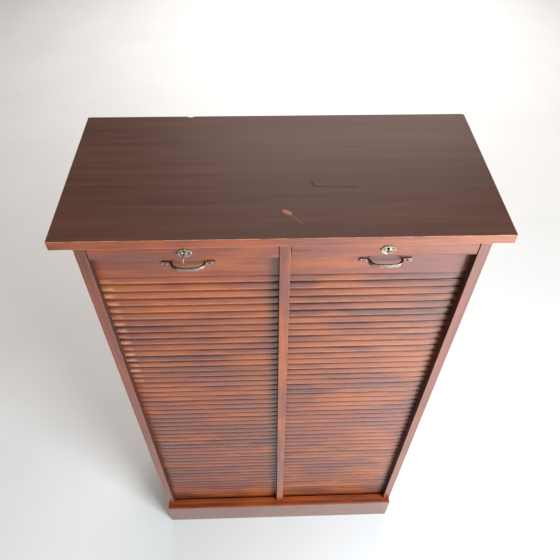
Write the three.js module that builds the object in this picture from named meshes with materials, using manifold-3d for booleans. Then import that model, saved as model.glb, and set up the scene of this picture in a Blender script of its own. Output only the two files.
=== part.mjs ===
// A double tambour filing cabinet in stained mahogany.
// Two roller shutters run side by side in grooves cut in the side panels and the centre divider.
// Each shutter is a lock rail with a pull and a lock, and a curtain of slats glued to canvas.
// The curtain goes down the front, round under the compartments and up behind the inner back.
// Units are millimetres. X is across the front, Y goes towards the back and Z is up.
// While the parts are built, x = 0 is the middle of the carcass, y = 0 is the plane of the
// carcass's front edges and z = 0 is the floor. The last step centres the whole on its base.

import * as THREE from 'three';
import { mergeVertices } from 'three/addons/utils/BufferGeometryUtils.js';
import Module from 'manifold-3d';

const wasm = await Module();
wasm.setup();

// Driving dimensions: carcass
const CABINET_HEIGHT = 1353;
const BODY_WIDTH = 747;
const BODY_DEPTH = 377;
const SIDE_THICKNESS = 20.5;
const DIVIDER_THICKNESS = 20.5;
const DIVIDER_OFFSET = 1;
const TOP_WIDTH = 820;
const TOP_THICKNESS = 20;
const TOP_FRONT_OVERHANG = 8;
const TOP_SIDE_SHIFT = -2;
const PLINTH_HEIGHT = 109;
const PLINTH_THICKNESS = 15.7;
const PLINTH_ROUND = 5;
const DUST_BOARD_THICKNESS = 8;
const DUST_BOARD_LIFT = 6;
const GLUE_BLOCK_SIZE = 15;
const GLUE_BLOCK_HEIGHT = 70;
const SILL_HEIGHT = 24;
const SILL_GAP = 5;

// Driving dimensions: back frame and panels
const BACK_FRAME_THICKNESS = 14;
const BACK_STILE_WIDTH = 60;
const BACK_TOP_RAIL = 60;
const BACK_BOTTOM_RAIL = 90;
const BACK_FRAME_LIFT = 3;
const BACK_PANEL_THICKNESS = 6;
const BACK_PANEL_TONGUE = 8;

// Driving dimensions: compartments
const SHELF_COUNT = 4;
const SHELF_THICKNESS = 14;
const FLOOR_THICKNESS = 16;
const FLOOR_RISE = 6;
const DADO_DEPTH = 4;
const INNER_BACK_THICKNESS = 6;

// Driving dimensions: shutter track and curtain
const SHUTTER_SETBACK = 19;
const SLAT_THICKNESS = 9;
const CANVAS_THICKNESS = 1;
const SLAT_PITCH = 22.5;
const SLAT_GAP = 1.5;
const TAIL_SLATS = 4;
const TRACK_DEPTH = 7;
const TRACK_RADIUS = 58;
const TRACK_STEPS = 8;
const CANVAS_PARTS = 3;

// Driving dimensions: lock rail
const RAIL_HEIGHT = 100.5;
const RAIL_TOP_GAP = 2;
const RAIL_BAND_HEIGHT = 37;
const RAIL_BAND_INSET = 1;

// Driving dimensions: pull
const PULL_LENGTH = 101;
const PULL_HEIGHT = 10;
const PULL_THICKNESS = 3;
const PULL_BOW_THICKNESS = 4;
const PULL_BOW_SPAN = 66;
const PULL_PROJECTION = 20;
const PULL_DROP = 62;
const PULL_SCREW_INSET = 9;
const SCREW_HEAD_RADIUS = 3;
const SCREW_HEAD_HEIGHT = 1.4;
const SCREW_RADIUS = 1.6;
const SCREW_LENGTH = 10;
const SCREW_SLOT = 0.8;

// Driving dimensions: lock, key and escutcheon
const PLATE_WIDTH = 31;
const PLATE_HEIGHT = 24;
const PLATE_THICKNESS = 1.5;
const PLATE_DROP = 18;
const PIN_RADIUS = 0.8;
const PIN_HEAD_RADIUS = 1.5;
const PIN_LENGTH = 8;
const PIN_INSET = 3.4;
const KEY_HOLE_RADIUS = 3.2;
const KEY_SLOT_WIDTH = 2.8;
const KEY_AXIS_DROP = 15;
const KEY_SHANK_RADIUS = 2.5;
const KEY_BIT_REACH = 9;
const KEY_BIT_THICKNESS = 2;
const KEY_BIT_WIDTH = 2.6;
const KEY_NECK = 12;
const KEY_BOW_RADIUS = 8;
const KEY_BOW_HOLE_RADIUS = 4;
const KEY_BOW_THICKNESS = 3;
const LOCK_WIDTH = 50;
const LOCK_HEIGHT = 34;
const LOCK_WALL = 2;
const BOLT_WIDTH = 18;
const BOLT_THICKNESS = 5;
const BOLT_LENGTH = 29;
const BOLT_THROW = 7;
const STRIKE_WIDTH = 40;
const STRIKE_DEPTH = 14;
const STRIKE_THICKNESS = 1.5;

// Clearances
const FIT = 0.3;
const BOLT_CLEARANCE = 0.5;
const LOCK_BACK_CLEARANCE = 0.9;
const SCREW_CLEARANCE = 0.4;
const TRACK_CLEARANCE = 0.75;
const TRACK_END_CLEARANCE = 1;
const SHUTTER_SIDE_GAP = 1.5;
const SHELF_CURTAIN_GAP = 6;
const STRIKE_HEADROOM = 3;
const OVERCUT = 5;

// Heights and depths that follow from the sizes above
const TOP_UNDERSIDE = CABINET_HEIGHT - TOP_THICKNESS;
const CARCASS_TOP = TOP_UNDERSIDE - FIT;
const CURTAIN_THICKNESS = SLAT_THICKNESS + CANVAS_THICKNESS;
const TRACK_WIDTH = CURTAIN_THICKNESS + 2 * TRACK_CLEARANCE;
const FRONT_TRACK_Y = SHUTTER_SETBACK + CURTAIN_THICKNESS / 2;
const BACK_FRAME_Y = BODY_DEPTH - BACK_FRAME_THICKNESS;
const REAR_TRACK_Y = BACK_FRAME_Y - 3 - TRACK_WIDTH / 2;
const RAIL_TOP = TOP_UNDERSIDE - RAIL_TOP_GAP;
const RAIL_BOTTOM = RAIL_TOP - RAIL_HEIGHT;
const CURTAIN_TOP = RAIL_BOTTOM - FIT;
const FRONT_SLATS = Math.floor((CURTAIN_TOP - PLINTH_HEIGHT) / SLAT_PITCH) + 1;
const CURVE_TOP = CURTAIN_TOP - FRONT_SLATS * SLAT_PITCH;
const DUST_BOARD_TOP = DUST_BOARD_LIFT + DUST_BOARD_THICKNESS;
const FLOOR_BOTTOM = PLINTH_HEIGHT + FLOOR_RISE;
const FLOOR_TOP = FLOOR_BOTTOM + FLOOR_THICKNESS;
const SHELF_FRONT = SHUTTER_SETBACK + CURTAIN_THICKNESS + SHELF_CURTAIN_GAP;
const INNER_BACK_Y = REAR_TRACK_Y - TRACK_WIDTH / 2 - 2 - INNER_BACK_THICKNESS;
const SHELF_BACK = INNER_BACK_Y - FIT;
const SHELF_STEP = (CARCASS_TOP - FLOOR_TOP - SHELF_COUNT * SHELF_THICKNESS) / (SHELF_COUNT + 1);
const SHELF_BOTTOMS = Array.from({ length: SHELF_COUNT }, (_, index) => (
  FLOOR_TOP + SHELF_STEP * (index + 1) + SHELF_THICKNESS * index
));

// Widths that follow from the sizes above. A bay is the clear space of one shutter.
const INNER_HALF = BODY_WIDTH / 2 - SIDE_THICKNESS;
const DIVIDER_LEFT = DIVIDER_OFFSET - DIVIDER_THICKNESS / 2;
const DIVIDER_RIGHT = DIVIDER_OFFSET + DIVIDER_THICKNESS / 2;
const BAYS = [
  { side: 'left', from: -INNER_HALF, to: DIVIDER_LEFT, plateShift: 2, pullShift: 3, hasKey: true },
  { side: 'right', from: DIVIDER_RIGHT, to: INNER_HALF, plateShift: 4, pullShift: 9, hasKey: false },
];

// Places on the lock rail that follow from the sizes above
const RAIL_FACE_Y = SHUTTER_SETBACK;
const RAIL_BACK_Y = SHUTTER_SETBACK + CURTAIN_THICKNESS;
const PULL_Z = RAIL_TOP - PULL_DROP;
const PLATE_Z = RAIL_TOP - PLATE_DROP;
const KEY_Z = RAIL_TOP - KEY_AXIS_DROP;
const LOCK_INSIDE = 2 * BOLT_CLEARANCE + KEY_BIT_WIDTH + BOLT_THICKNESS + LOCK_BACK_CLEARANCE;
const LOCK_DEPTH = 2 * LOCK_WALL + LOCK_INSIDE;
const LOCK_FRONT = RAIL_BACK_Y - FIT - LOCK_DEPTH;
const LOCK_TOP = RAIL_TOP - FIT;
const BOLT_FRONT = LOCK_FRONT + LOCK_WALL + BOLT_CLEARANCE + KEY_BIT_WIDTH + BOLT_CLEARANCE;
const BOLT_BACK = BOLT_FRONT + BOLT_THICKNESS;
const STRIKE_Y = (BOLT_FRONT + BOLT_BACK) / 2;

// Finishes
const finish = (color, roughness, metalness) => ({ color, roughness, metalness });
const STAINED_TOP = finish(0x5a3a30, 0.45, 0);
const STAINED_FRONT = finish(0x8a4a2c, 0.5, 0);
const STAINED_SIDE = finish(0x7a4433, 0.55, 0);
const SLAT_WOOD = finish(0x8c4628, 0.45, 0);
const INNER_WOOD = finish(0xa8794e, 0.7, 0);
const BACK_WOOD = finish(0x7d5a40, 0.8, 0);
const AGED_BRASS = finish(0x9b8a68, 0.45, 1);
const BRONZE = finish(0x6d6152, 0.45, 1);
const DARK_STEEL = finish(0x5b5a58, 0.5, 1);

// Turns a closed geometry into a solid that can be cut.
function toSolid(geometry) {
  const bare = geometry.clone();
  bare.deleteAttribute('normal');
  bare.deleteAttribute('uv');
  const merged = mergeVertices(bare, 1e-4);
  return new wasm.Manifold(new wasm.Mesh({
    numProp: 3,
    vertProperties: new Float32Array(merged.attributes.position.array),
    triVerts: new Uint32Array(merged.index.array),
  }));
}

// Turns a solid back into a geometry with flat-shaded normals.
function toGeometry(solid) {
  const mesh = solid.getMesh();
  const geometry = new THREE.BufferGeometry();
  geometry.setAttribute('position', new THREE.BufferAttribute(mesh.vertProperties, 3));
  geometry.setIndex(new THREE.BufferAttribute(mesh.triVerts, 1));
  geometry.computeVertexNormals();
  return geometry;
}

// Cuts every tool geometry away from a body geometry.
function cut(body, tools) {
  let solid = toSolid(body);
  for (const tool of tools) {
    solid = solid.subtract(toSolid(tool));
  }
  return toGeometry(solid);
}

// Joins overlapping geometries into one body.
function join(parts) {
  let solid = toSolid(parts[0]);
  for (const part of parts.slice(1)) {
    solid = solid.add(toSolid(part));
  }
  return toGeometry(solid);
}

// A box between two corners.
function block([x0, y0, z0], [x1, y1, z1]) {
  const geometry = new THREE.BoxGeometry(x1 - x0, y1 - y0, z1 - z0);
  return geometry.translate((x0 + x1) / 2, (y0 + y1) / 2, (z0 + z1) / 2);
}

// Extrudes an outline drawn in Y and Z from x0 to x1.
function extrudeX(outline, x0, x1) {
  const geometry = new THREE.ExtrudeGeometry(outline, { depth: x1 - x0, bevelEnabled: false });
  const turn = new THREE.Matrix4().makeBasis(
    new THREE.Vector3(0, 1, 0),
    new THREE.Vector3(0, 0, 1),
    new THREE.Vector3(1, 0, 0),
  );
  return geometry.applyMatrix4(turn).translate(x0, 0, 0);
}

// Extrudes an outline drawn in X and Z from y0 to y1.
function extrudeY(outline, y0, y1, steps) {
  const geometry = new THREE.ExtrudeGeometry(
    outline,
    { depth: y1 - y0, bevelEnabled: false, curveSegments: steps },
  );
  return geometry.rotateX(Math.PI / 2).translate(0, y1, 0);
}

// A round bar along Y, centred on x = 0 and z = 0.
function barY(radius, y0, y1, sides) {
  return new THREE.CylinderGeometry(radius, radius, y1 - y0, sides).translate(0, (y0 + y1) / 2, 0);
}

function named(name, geometry, look) {
  const mesh = new THREE.Mesh(geometry, new THREE.MeshStandardMaterial(look));
  mesh.name = name;
  return mesh;
}

// A plain board that runs between two corners, placed by its centre.
function board(name, [x0, y0, z0], [x1, y1, z1], look) {
  const mesh = named(name, new THREE.BoxGeometry(x1 - x0, y1 - y0, z1 - z0), look);
  mesh.position.set((x0 + x1) / 2, (y0 + y1) / 2, (z0 + z1) / 2);
  return mesh;
}

// The curtain's middle line, by distance from the top of the front curve: down round the front
// curve, back under the compartments and up round the rear curve.
const CURVE_LENGTH = TRACK_RADIUS * Math.PI / 2;
const UNDER_RUN = REAR_TRACK_Y - FRONT_TRACK_Y - 2 * TRACK_RADIUS;
const TURN_LENGTH = 2 * CURVE_LENGTH + UNDER_RUN;

function turnPoint(distance) {
  const frontCentre = FRONT_TRACK_Y + TRACK_RADIUS;
  if (distance <= CURVE_LENGTH) {
    const angle = distance / TRACK_RADIUS;
    return { y: frontCentre, z: CURVE_TOP, outY: -Math.cos(angle), outZ: -Math.sin(angle) };
  }
  if (distance <= CURVE_LENGTH + UNDER_RUN) {
    return { y: frontCentre + distance - CURVE_LENGTH, z: CURVE_TOP, outY: 0, outZ: -1 };
  }
  const angle = (distance - CURVE_LENGTH - UNDER_RUN) / TRACK_RADIUS;
  return { y: REAR_TRACK_Y - TRACK_RADIUS, z: CURVE_TOP, outY: Math.sin(angle), outZ: -Math.cos(angle) };
}

// A point beside the curtain's middle line, outwards by a given offset.
function besideTurn(distance, offset) {
  const { y, z, outY, outZ } = turnPoint(distance);
  const reach = TRACK_RADIUS + offset;
  return new THREE.Vector2(y + outY * reach, z + outZ * reach);
}

// The track's outline: a U-shaped channel that is open at the top.
function trackOutline() {
  const half = TRACK_WIDTH / 2;
  const open = CARCASS_TOP + OVERCUT;
  const bends = [];
  for (let step = 0; step <= TRACK_STEPS; step += 1) {
    bends.push(CURVE_LENGTH * step / TRACK_STEPS);
  }
  for (let step = 0; step <= TRACK_STEPS; step += 1) {
    bends.push(CURVE_LENGTH + UNDER_RUN + CURVE_LENGTH * step / TRACK_STEPS);
  }
  const outer = bends.map((distance) => besideTurn(distance, half));
  const inner = bends.map((distance) => besideTurn(distance, -half)).reverse();
  return new THREE.Shape([
    new THREE.Vector2(FRONT_TRACK_Y - half, open),
    ...outer,
    new THREE.Vector2(REAR_TRACK_Y + half, open),
    new THREE.Vector2(REAR_TRACK_Y - half, open),
    ...inner,
    new THREE.Vector2(FRONT_TRACK_Y + half, open),
  ]);
}

// Everything cut into one face of an upright: the track, the shelf dados and the inner back's
// groove. The face is at x = face, and the cuts go in the direction of inward.
function uprightCuts(face, inward) {
  const span = (depth) => [face - inward * OVERCUT, face + inward * depth].sort((a, b) => a - b);
  const [trackFrom, trackTo] = span(TRACK_DEPTH);
  const [dadoFrom, dadoTo] = span(DADO_DEPTH);
  const cuts = [extrudeX(trackOutline(), trackFrom, trackTo)];
  const dado = (bottom, thickness) => block(
    [dadoFrom, SHELF_FRONT - FIT, bottom - FIT],
    [dadoTo, SHELF_BACK + FIT, bottom + thickness + FIT],
  );
  cuts.push(dado(FLOOR_BOTTOM, FLOOR_THICKNESS));
  for (const bottom of SHELF_BOTTOMS) {
    cuts.push(dado(bottom, SHELF_THICKNESS));
  }
  cuts.push(block(
    [dadoFrom, INNER_BACK_Y - FIT, FLOOR_BOTTOM - FIT],
    [dadoTo, INNER_BACK_Y + INNER_BACK_THICKNESS + FIT, CARCASS_TOP + OVERCUT],
  ));
  return cuts;
}

function sidePanel(name, direction) {
  const inner = direction * INNER_HALF;
  const outer = direction * BODY_WIDTH / 2;
  const body = block(
    [Math.min(inner, outer), 0, 0],
    [Math.max(inner, outer), BODY_DEPTH, CARCASS_TOP],
  );
  return named(name, cut(body, uprightCuts(inner, direction)), STAINED_SIDE);
}

function centreDivider() {
  const body = block(
    [DIVIDER_LEFT, 0, DUST_BOARD_TOP + FIT],
    [DIVIDER_RIGHT, BACK_FRAME_Y - FIT, CARCASS_TOP],
  );
  const cuts = [...uprightCuts(DIVIDER_LEFT, 1), ...uprightCuts(DIVIDER_RIGHT, -1)];
  return named('centre_divider', cut(body, cuts), STAINED_FRONT);
}

// The plinth board covers the carcass's front edges, with its top front edge rounded.
function plinthFront() {
  const back = -FIT;
  const front = back - PLINTH_THICKNESS;
  const outline = new THREE.Shape();
  outline.moveTo(back, 0);
  outline.lineTo(back, PLINTH_HEIGHT);
  outline.lineTo(front + PLINTH_ROUND, PLINTH_HEIGHT);
  const roundZ = PLINTH_HEIGHT - PLINTH_ROUND;
  outline.absarc(front + PLINTH_ROUND, roundZ, PLINTH_ROUND, Math.PI / 2, Math.PI, false);
  outline.lineTo(front, 0);
  const points = outline.getPoints(4);
  const geometry = extrudeX(new THREE.Shape(points), -BODY_WIDTH / 2, BODY_WIDTH / 2);
  return named('plinth_front', geometry, STAINED_FRONT);
}

function glueBlock(name, direction) {
  const outer = direction * (INNER_HALF - FIT);
  const inner = outer - direction * GLUE_BLOCK_SIZE;
  const bottom = DUST_BOARD_TOP + FIT;
  return board(
    name,
    [Math.min(inner, outer), 0, bottom],
    [Math.max(inner, outer), GLUE_BLOCK_SIZE, bottom + GLUE_BLOCK_HEIGHT],
    INNER_WOOD,
  );
}

// The sill closes the space between the plinth and one bay's curtain.
function sill(bay) {
  return board(
    `${bay.side}_sill`,
    [bay.from + FIT, 0, PLINTH_HEIGHT - SILL_HEIGHT],
    [bay.to - FIT, SHUTTER_SETBACK - SILL_GAP, PLINTH_HEIGHT],
    STAINED_FRONT,
  );
}

function dustBoard() {
  return board(
    'dust_board',
    [-INNER_HALF + FIT, 0, DUST_BOARD_LIFT],
    [INNER_HALF - FIT, BACK_FRAME_Y - FIT, DUST_BOARD_TOP],
    BACK_WOOD,
  );
}

// The middle of a bay's strike and lock, across the cabinet.
function plateX(bay) {
  return (bay.from + bay.to) / 2 + bay.plateShift;
}

// The top board has a shallow seat for each strike plate and a mortise for each bolt.
function topBoard() {
  const left = TOP_SIDE_SHIFT - TOP_WIDTH / 2;
  const body = block(
    [left, -TOP_FRONT_OVERHANG, TOP_UNDERSIDE],
    [left + TOP_WIDTH, BODY_DEPTH, CABINET_HEIGHT],
  );
  const cuts = BAYS.flatMap((bay) => {
    const x = plateX(bay);
    const seatTop = TOP_UNDERSIDE + STRIKE_THICKNESS + FIT;
    const seat = block(
      [x - STRIKE_WIDTH / 2 - FIT, STRIKE_Y - STRIKE_DEPTH / 2 - FIT, TOP_UNDERSIDE - OVERCUT],
      [x + STRIKE_WIDTH / 2 + FIT, STRIKE_Y + STRIKE_DEPTH / 2 + FIT, seatTop],
    );
    const mortiseTop = TOP_UNDERSIDE + BOLT_THROW + STRIKE_HEADROOM;
    const mortise = block(
      [x - BOLT_WIDTH / 2 - BOLT_CLEARANCE, BOLT_FRONT - BOLT_CLEARANCE, TOP_UNDERSIDE],
      [x + BOLT_WIDTH / 2 + BOLT_CLEARANCE, BOLT_BACK + BOLT_CLEARANCE, mortiseTop],
    );
    return [seat, mortise];
  });
  return named('top_board', cut(body, cuts), STAINED_TOP);
}

function strikePlate(bay) {
  const x = plateX(bay);
  const body = block(
    [x - STRIKE_WIDTH / 2, STRIKE_Y - STRIKE_DEPTH / 2, TOP_UNDERSIDE],
    [x + STRIKE_WIDTH / 2, STRIKE_Y + STRIKE_DEPTH / 2, TOP_UNDERSIDE + STRIKE_THICKNESS],
  );
  const hole = block(
    [x - BOLT_WIDTH / 2 - BOLT_CLEARANCE, BOLT_FRONT - BOLT_CLEARANCE, TOP_UNDERSIDE - OVERCUT],
    [x + BOLT_WIDTH / 2 + BOLT_CLEARANCE, BOLT_BACK + BOLT_CLEARANCE, TOP_UNDERSIDE + OVERCUT],
  );
  return named(`${bay.side}_strike_plate`, cut(body, [hole]), AGED_BRASS);
}

// The back is a frame with two panels let into grooves in its stiles, rails and muntin.
function backFrame() {
  const group = new THREE.Group();
  const half = INNER_HALF - FIT;
  const panelY = BACK_FRAME_Y + (BACK_FRAME_THICKNESS - BACK_PANEL_THICKNESS) / 2;
  const railBottom = BACK_FRAME_LIFT + BACK_BOTTOM_RAIL;
  const railTop = CARCASS_TOP - BACK_TOP_RAIL;
  const muntinLeft = -BACK_STILE_WIDTH / 2;
  const muntinRight = BACK_STILE_WIDTH / 2;
  const panels = [
    { side: 'left', from: -half + BACK_STILE_WIDTH, to: muntinLeft },
    { side: 'right', from: muntinRight, to: half - BACK_STILE_WIDTH },
  ].map(({ side, from, to }) => ({
    side,
    low: [from - BACK_PANEL_TONGUE, panelY, railBottom - BACK_PANEL_TONGUE],
    high: [to + BACK_PANEL_TONGUE, panelY + BACK_PANEL_THICKNESS, railTop + BACK_PANEL_TONGUE],
  }));
  const grooves = panels.map(({ low, high }) => block(
    low.map((value) => value - FIT),
    high.map((value) => value + FIT),
  ));
  const member = (name, [x0, z0], [x1, z1]) => {
    const body = block([x0, BACK_FRAME_Y, z0], [x1, BODY_DEPTH, z1]);
    group.add(named(name, cut(body, grooves), BACK_WOOD));
  };
  const low = BACK_FRAME_LIFT;
  member('back_stile_left', [-half, low], [-half + BACK_STILE_WIDTH, CARCASS_TOP]);
  member('back_stile_right', [half - BACK_STILE_WIDTH, low], [half, CARCASS_TOP]);
  const railHalf = half - BACK_STILE_WIDTH - FIT;
  member('back_bottom_rail', [-railHalf, low], [railHalf, railBottom]);
  member('back_top_rail', [-railHalf, railTop], [railHalf, CARCASS_TOP]);
  member('back_muntin', [muntinLeft, railBottom + FIT], [muntinRight, railTop - FIT]);
  for (const panel of panels) {
    group.add(board(`back_panel_${panel.side}`, panel.low, panel.high, BACK_WOOD));
  }
  return group;
}

// The boards inside one bay, housed in the uprights' dados.
function bayInterior(bay) {
  const group = new THREE.Group();
  const from = bay.from - DADO_DEPTH + FIT;
  const to = bay.to + DADO_DEPTH - FIT;
  const shelf = (name, bottom, thickness) => board(
    name,
    [from, SHELF_FRONT, bottom],
    [to, SHELF_BACK, bottom + thickness],
    INNER_WOOD,
  );
  group.add(shelf(`${bay.side}_floor_board`, FLOOR_BOTTOM, FLOOR_THICKNESS));
  SHELF_BOTTOMS.forEach((bottom, index) => {
    group.add(shelf(`${bay.side}_shelf_${index + 1}`, bottom, SHELF_THICKNESS));
  });
  group.add(board(
    `${bay.side}_inner_back`,
    [from, INNER_BACK_Y, FLOOR_BOTTOM],
    [to, INNER_BACK_Y + INNER_BACK_THICKNESS, CARCASS_TOP],
    INNER_WOOD,
  ));
  return group;
}

// The curtain's width: it reaches into the tracks on both sides.
function curtainSpan(bay) {
  const reach = TRACK_DEPTH - TRACK_END_CLEARANCE;
  return [bay.from - reach, bay.to + reach];
}

// A straight length of curtain. Each slat has a rounded face, and canvas holds them together.
// The faces look along direction from the canvas, which is at canvasY.
function straightCurtain(name, bay, canvasY, direction, bottom, count) {
  const facing = [
    [0, 0.55],
    [0.12, 0.9],
    [0.5, 1],
    [0.88, 0.9],
    [1, 0.55],
  ];
  const root = canvasY + direction * CANVAS_THICKNESS;
  const body = SLAT_PITCH - SLAT_GAP;
  const points = [];
  for (let index = 0; index < count; index += 1) {
    const start = bottom + index * SLAT_PITCH + SLAT_GAP / 2;
    points.push(new THREE.Vector2(root, start));
    for (const [along, rise] of facing) {
      points.push(new THREE.Vector2(root + direction * rise * SLAT_THICKNESS, start + along * body));
    }
    points.push(new THREE.Vector2(root, start + body));
  }
  const top = bottom + count * SLAT_PITCH - FIT;
  points.push(new THREE.Vector2(root, top), new THREE.Vector2(canvasY, top));
  points.push(new THREE.Vector2(canvasY, bottom), new THREE.Vector2(root, bottom));
  return named(name, extrudeX(new THREE.Shape(points), ...curtainSpan(bay)), SLAT_WOOD);
}

// The curtain's length round the bottom of the track, with the slats on the outside of the bend.
// The canvas follows the bend in a few flats for each slat.
function turnCurtain(bay) {
  const half = CURTAIN_THICKNESS / 2;
  const length = TURN_LENGTH - 2 * FIT;
  const count = Math.floor(length / SLAT_PITCH);
  const pitch = length / count;
  const outer = [];
  const inner = [];
  for (let index = 0; index < count; index += 1) {
    const start = FIT + index * pitch;
    const end = start + pitch;
    outer.push(besideTurn(start, -half + CANVAS_THICKNESS));
    outer.push(besideTurn(start + SLAT_GAP / 2, -half + CANVAS_THICKNESS));
    outer.push(besideTurn(start + SLAT_GAP, half));
    outer.push(besideTurn(end - SLAT_GAP, half));
    outer.push(besideTurn(end - SLAT_GAP / 2, -half + CANVAS_THICKNESS));
    for (let part = 0; part < CANVAS_PARTS; part += 1) {
      inner.push(besideTurn(start + pitch * part / CANVAS_PARTS, -half));
    }
  }
  outer.push(besideTurn(FIT + length, -half + CANVAS_THICKNESS));
  inner.push(besideTurn(FIT + length, -half));
  const outline = new THREE.Shape([...outer, ...inner.reverse()]);
  return named(`${bay.side}_curtain_turn`, extrudeX(outline, ...curtainSpan(bay)), SLAT_WOOD);
}

// A keyhole that runs through a plate or rail along Y: a round hole over a narrow slot.
function keyhole(x, y0, y1) {
  const round = barY(KEY_HOLE_RADIUS, y0, y1, 14).translate(x, 0, KEY_Z);
  const slot = block(
    [x - KEY_SLOT_WIDTH / 2, y0, KEY_Z - KEY_BIT_REACH - BOLT_CLEARANCE],
    [x + KEY_SLOT_WIDTH / 2, y1, KEY_Z],
  );
  return join([round, slot]);
}

// The two screw places of a pull, and the two pin places of an escutcheon, from its middle.
function pairAbout(middle, halfSpan) {
  return [middle - halfSpan, middle + halfSpan];
}

// The lock rail: a thin tongued board with a thick band along its top, mortised for the lock.
function lockRail(bay, pullX) {
  const x = plateX(bay);
  const [tongueFrom, tongueTo] = curtainSpan(bay);
  const from = bay.from + SHUTTER_SIDE_GAP;
  const to = bay.to - SHUTTER_SIDE_GAP;
  const body = join([
    block([tongueFrom, RAIL_FACE_Y, RAIL_BOTTOM], [tongueTo, RAIL_BACK_Y, RAIL_TOP]),
    block([from, RAIL_BAND_INSET, RAIL_TOP - RAIL_BAND_HEIGHT], [to, RAIL_BACK_Y - FIT, RAIL_TOP]),
  ]);
  const mortise = block(
    [x - LOCK_WIDTH / 2 - FIT, LOCK_FRONT - FIT, LOCK_TOP - LOCK_HEIGHT - FIT],
    [x + LOCK_WIDTH / 2 + FIT, RAIL_BACK_Y + OVERCUT, RAIL_TOP + OVERCUT],
  );
  const screwHoles = pairAbout(pullX, PULL_LENGTH / 2 - PULL_SCREW_INSET).map((screwX) => (
    barY(SCREW_RADIUS + SCREW_CLEARANCE, RAIL_FACE_Y - OVERCUT, RAIL_FACE_Y + SCREW_LENGTH, 8)
      .translate(screwX, 0, PULL_Z)
  ));
  const pinHoles = pairAbout(x, PLATE_WIDTH / 2 - PIN_INSET).map((pinX) => (
    barY(PIN_RADIUS + SCREW_CLEARANCE, RAIL_BAND_INSET - OVERCUT, RAIL_BAND_INSET + PIN_LENGTH, 8)
      .translate(pinX, 0, PLATE_Z)
  ));
  const cuts = [mortise, keyhole(x, RAIL_BAND_INSET - OVERCUT, LOCK_FRONT), ...screwHoles, ...pinHoles];
  return named(`${bay.side}_lock_rail`, cut(body, cuts), STAINED_FRONT);
}

// The pull is a strap bow between two flat ears, drawn from above and extruded upwards.
function pullHandle(bay, pullX) {
  const half = PULL_LENGTH / 2;
  const bow = PULL_BOW_SPAN / 2;
  const seat = RAIL_FACE_Y - FIT;
  const earFront = seat - PULL_THICKNESS;
  const front = RAIL_FACE_Y - PULL_PROJECTION;
  const inside = front + PULL_BOW_THICKNESS;
  const flat = bow * 0.4;
  const outline = new THREE.Shape();
  outline.moveTo(-half, seat);
  outline.lineTo(-half, earFront);
  outline.lineTo(-bow, earFront);
  outline.bezierCurveTo(-bow * 0.94, (earFront + front) / 2, -bow * 0.8, front, -flat, front);
  outline.lineTo(flat, front);
  outline.bezierCurveTo(bow * 0.8, front, bow * 0.94, (earFront + front) / 2, bow, earFront);
  outline.lineTo(half, earFront);
  outline.lineTo(half, seat);
  const foot = bow - PULL_BOW_THICKNESS;
  outline.lineTo(foot, seat);
  outline.bezierCurveTo(foot * 0.96, (seat + inside) / 2, bow * 0.75, inside, flat, inside);
  outline.lineTo(-flat, inside);
  outline.bezierCurveTo(-bow * 0.75, inside, -foot * 0.96, (seat + inside) / 2, -foot, seat);
  const points = outline.getPoints(7);
  const body = new THREE.ExtrudeGeometry(
    new THREE.Shape(points),
    { depth: PULL_HEIGHT, bevelEnabled: false },
  ).translate(0, 0, -PULL_HEIGHT / 2);
  const holes = pairAbout(0, half - PULL_SCREW_INSET).map((x) => (
    barY(SCREW_RADIUS + SCREW_CLEARANCE, earFront - OVERCUT, seat + OVERCUT, 10).translate(x, 0, 0)
  ));
  const mesh = named(`${bay.side}_pull`, cut(body, holes), BRONZE);
  mesh.position.set(pullX, 0, PULL_Z);
  return mesh;
}

// A fastener along Y with a domed head. The underside of its head is at y = 0.
function fastener(headRadius, headHeight, radius, length) {
  const profile = [
    new THREE.Vector2(0, headHeight),
    new THREE.Vector2(headRadius * 0.6, headHeight * 0.85),
    new THREE.Vector2(headRadius, headHeight * 0.3),
    new THREE.Vector2(headRadius, 0),
    new THREE.Vector2(radius, 0),
    new THREE.Vector2(radius, -length + radius),
    new THREE.Vector2(0, -length),
  ].reverse();
  return new THREE.LatheGeometry(profile, 12).rotateX(Math.PI);
}

function pullScrew(name, x) {
  const body = fastener(SCREW_HEAD_RADIUS, SCREW_HEAD_HEIGHT, SCREW_RADIUS, SCREW_LENGTH);
  const slot = block(
    [-SCREW_HEAD_RADIUS - 1, -SCREW_HEAD_HEIGHT - 1, -SCREW_SLOT / 2],
    [SCREW_HEAD_RADIUS + 1, -SCREW_HEAD_HEIGHT * 0.4, SCREW_SLOT / 2],
  );
  const mesh = named(name, cut(body, [slot]), AGED_BRASS);
  mesh.position.set(x, RAIL_FACE_Y - FIT - PULL_THICKNESS - FIT, PULL_Z);
  return mesh;
}

function platePin(name, x) {
  const body = fastener(PIN_HEAD_RADIUS, PIN_RADIUS, PIN_RADIUS, PIN_LENGTH);
  const mesh = named(name, toGeometry(toSolid(body)), AGED_BRASS);
  mesh.position.set(x, RAIL_BAND_INSET - FIT - PLATE_THICKNESS - FIT, PLATE_Z);
  return mesh;
}

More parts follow.
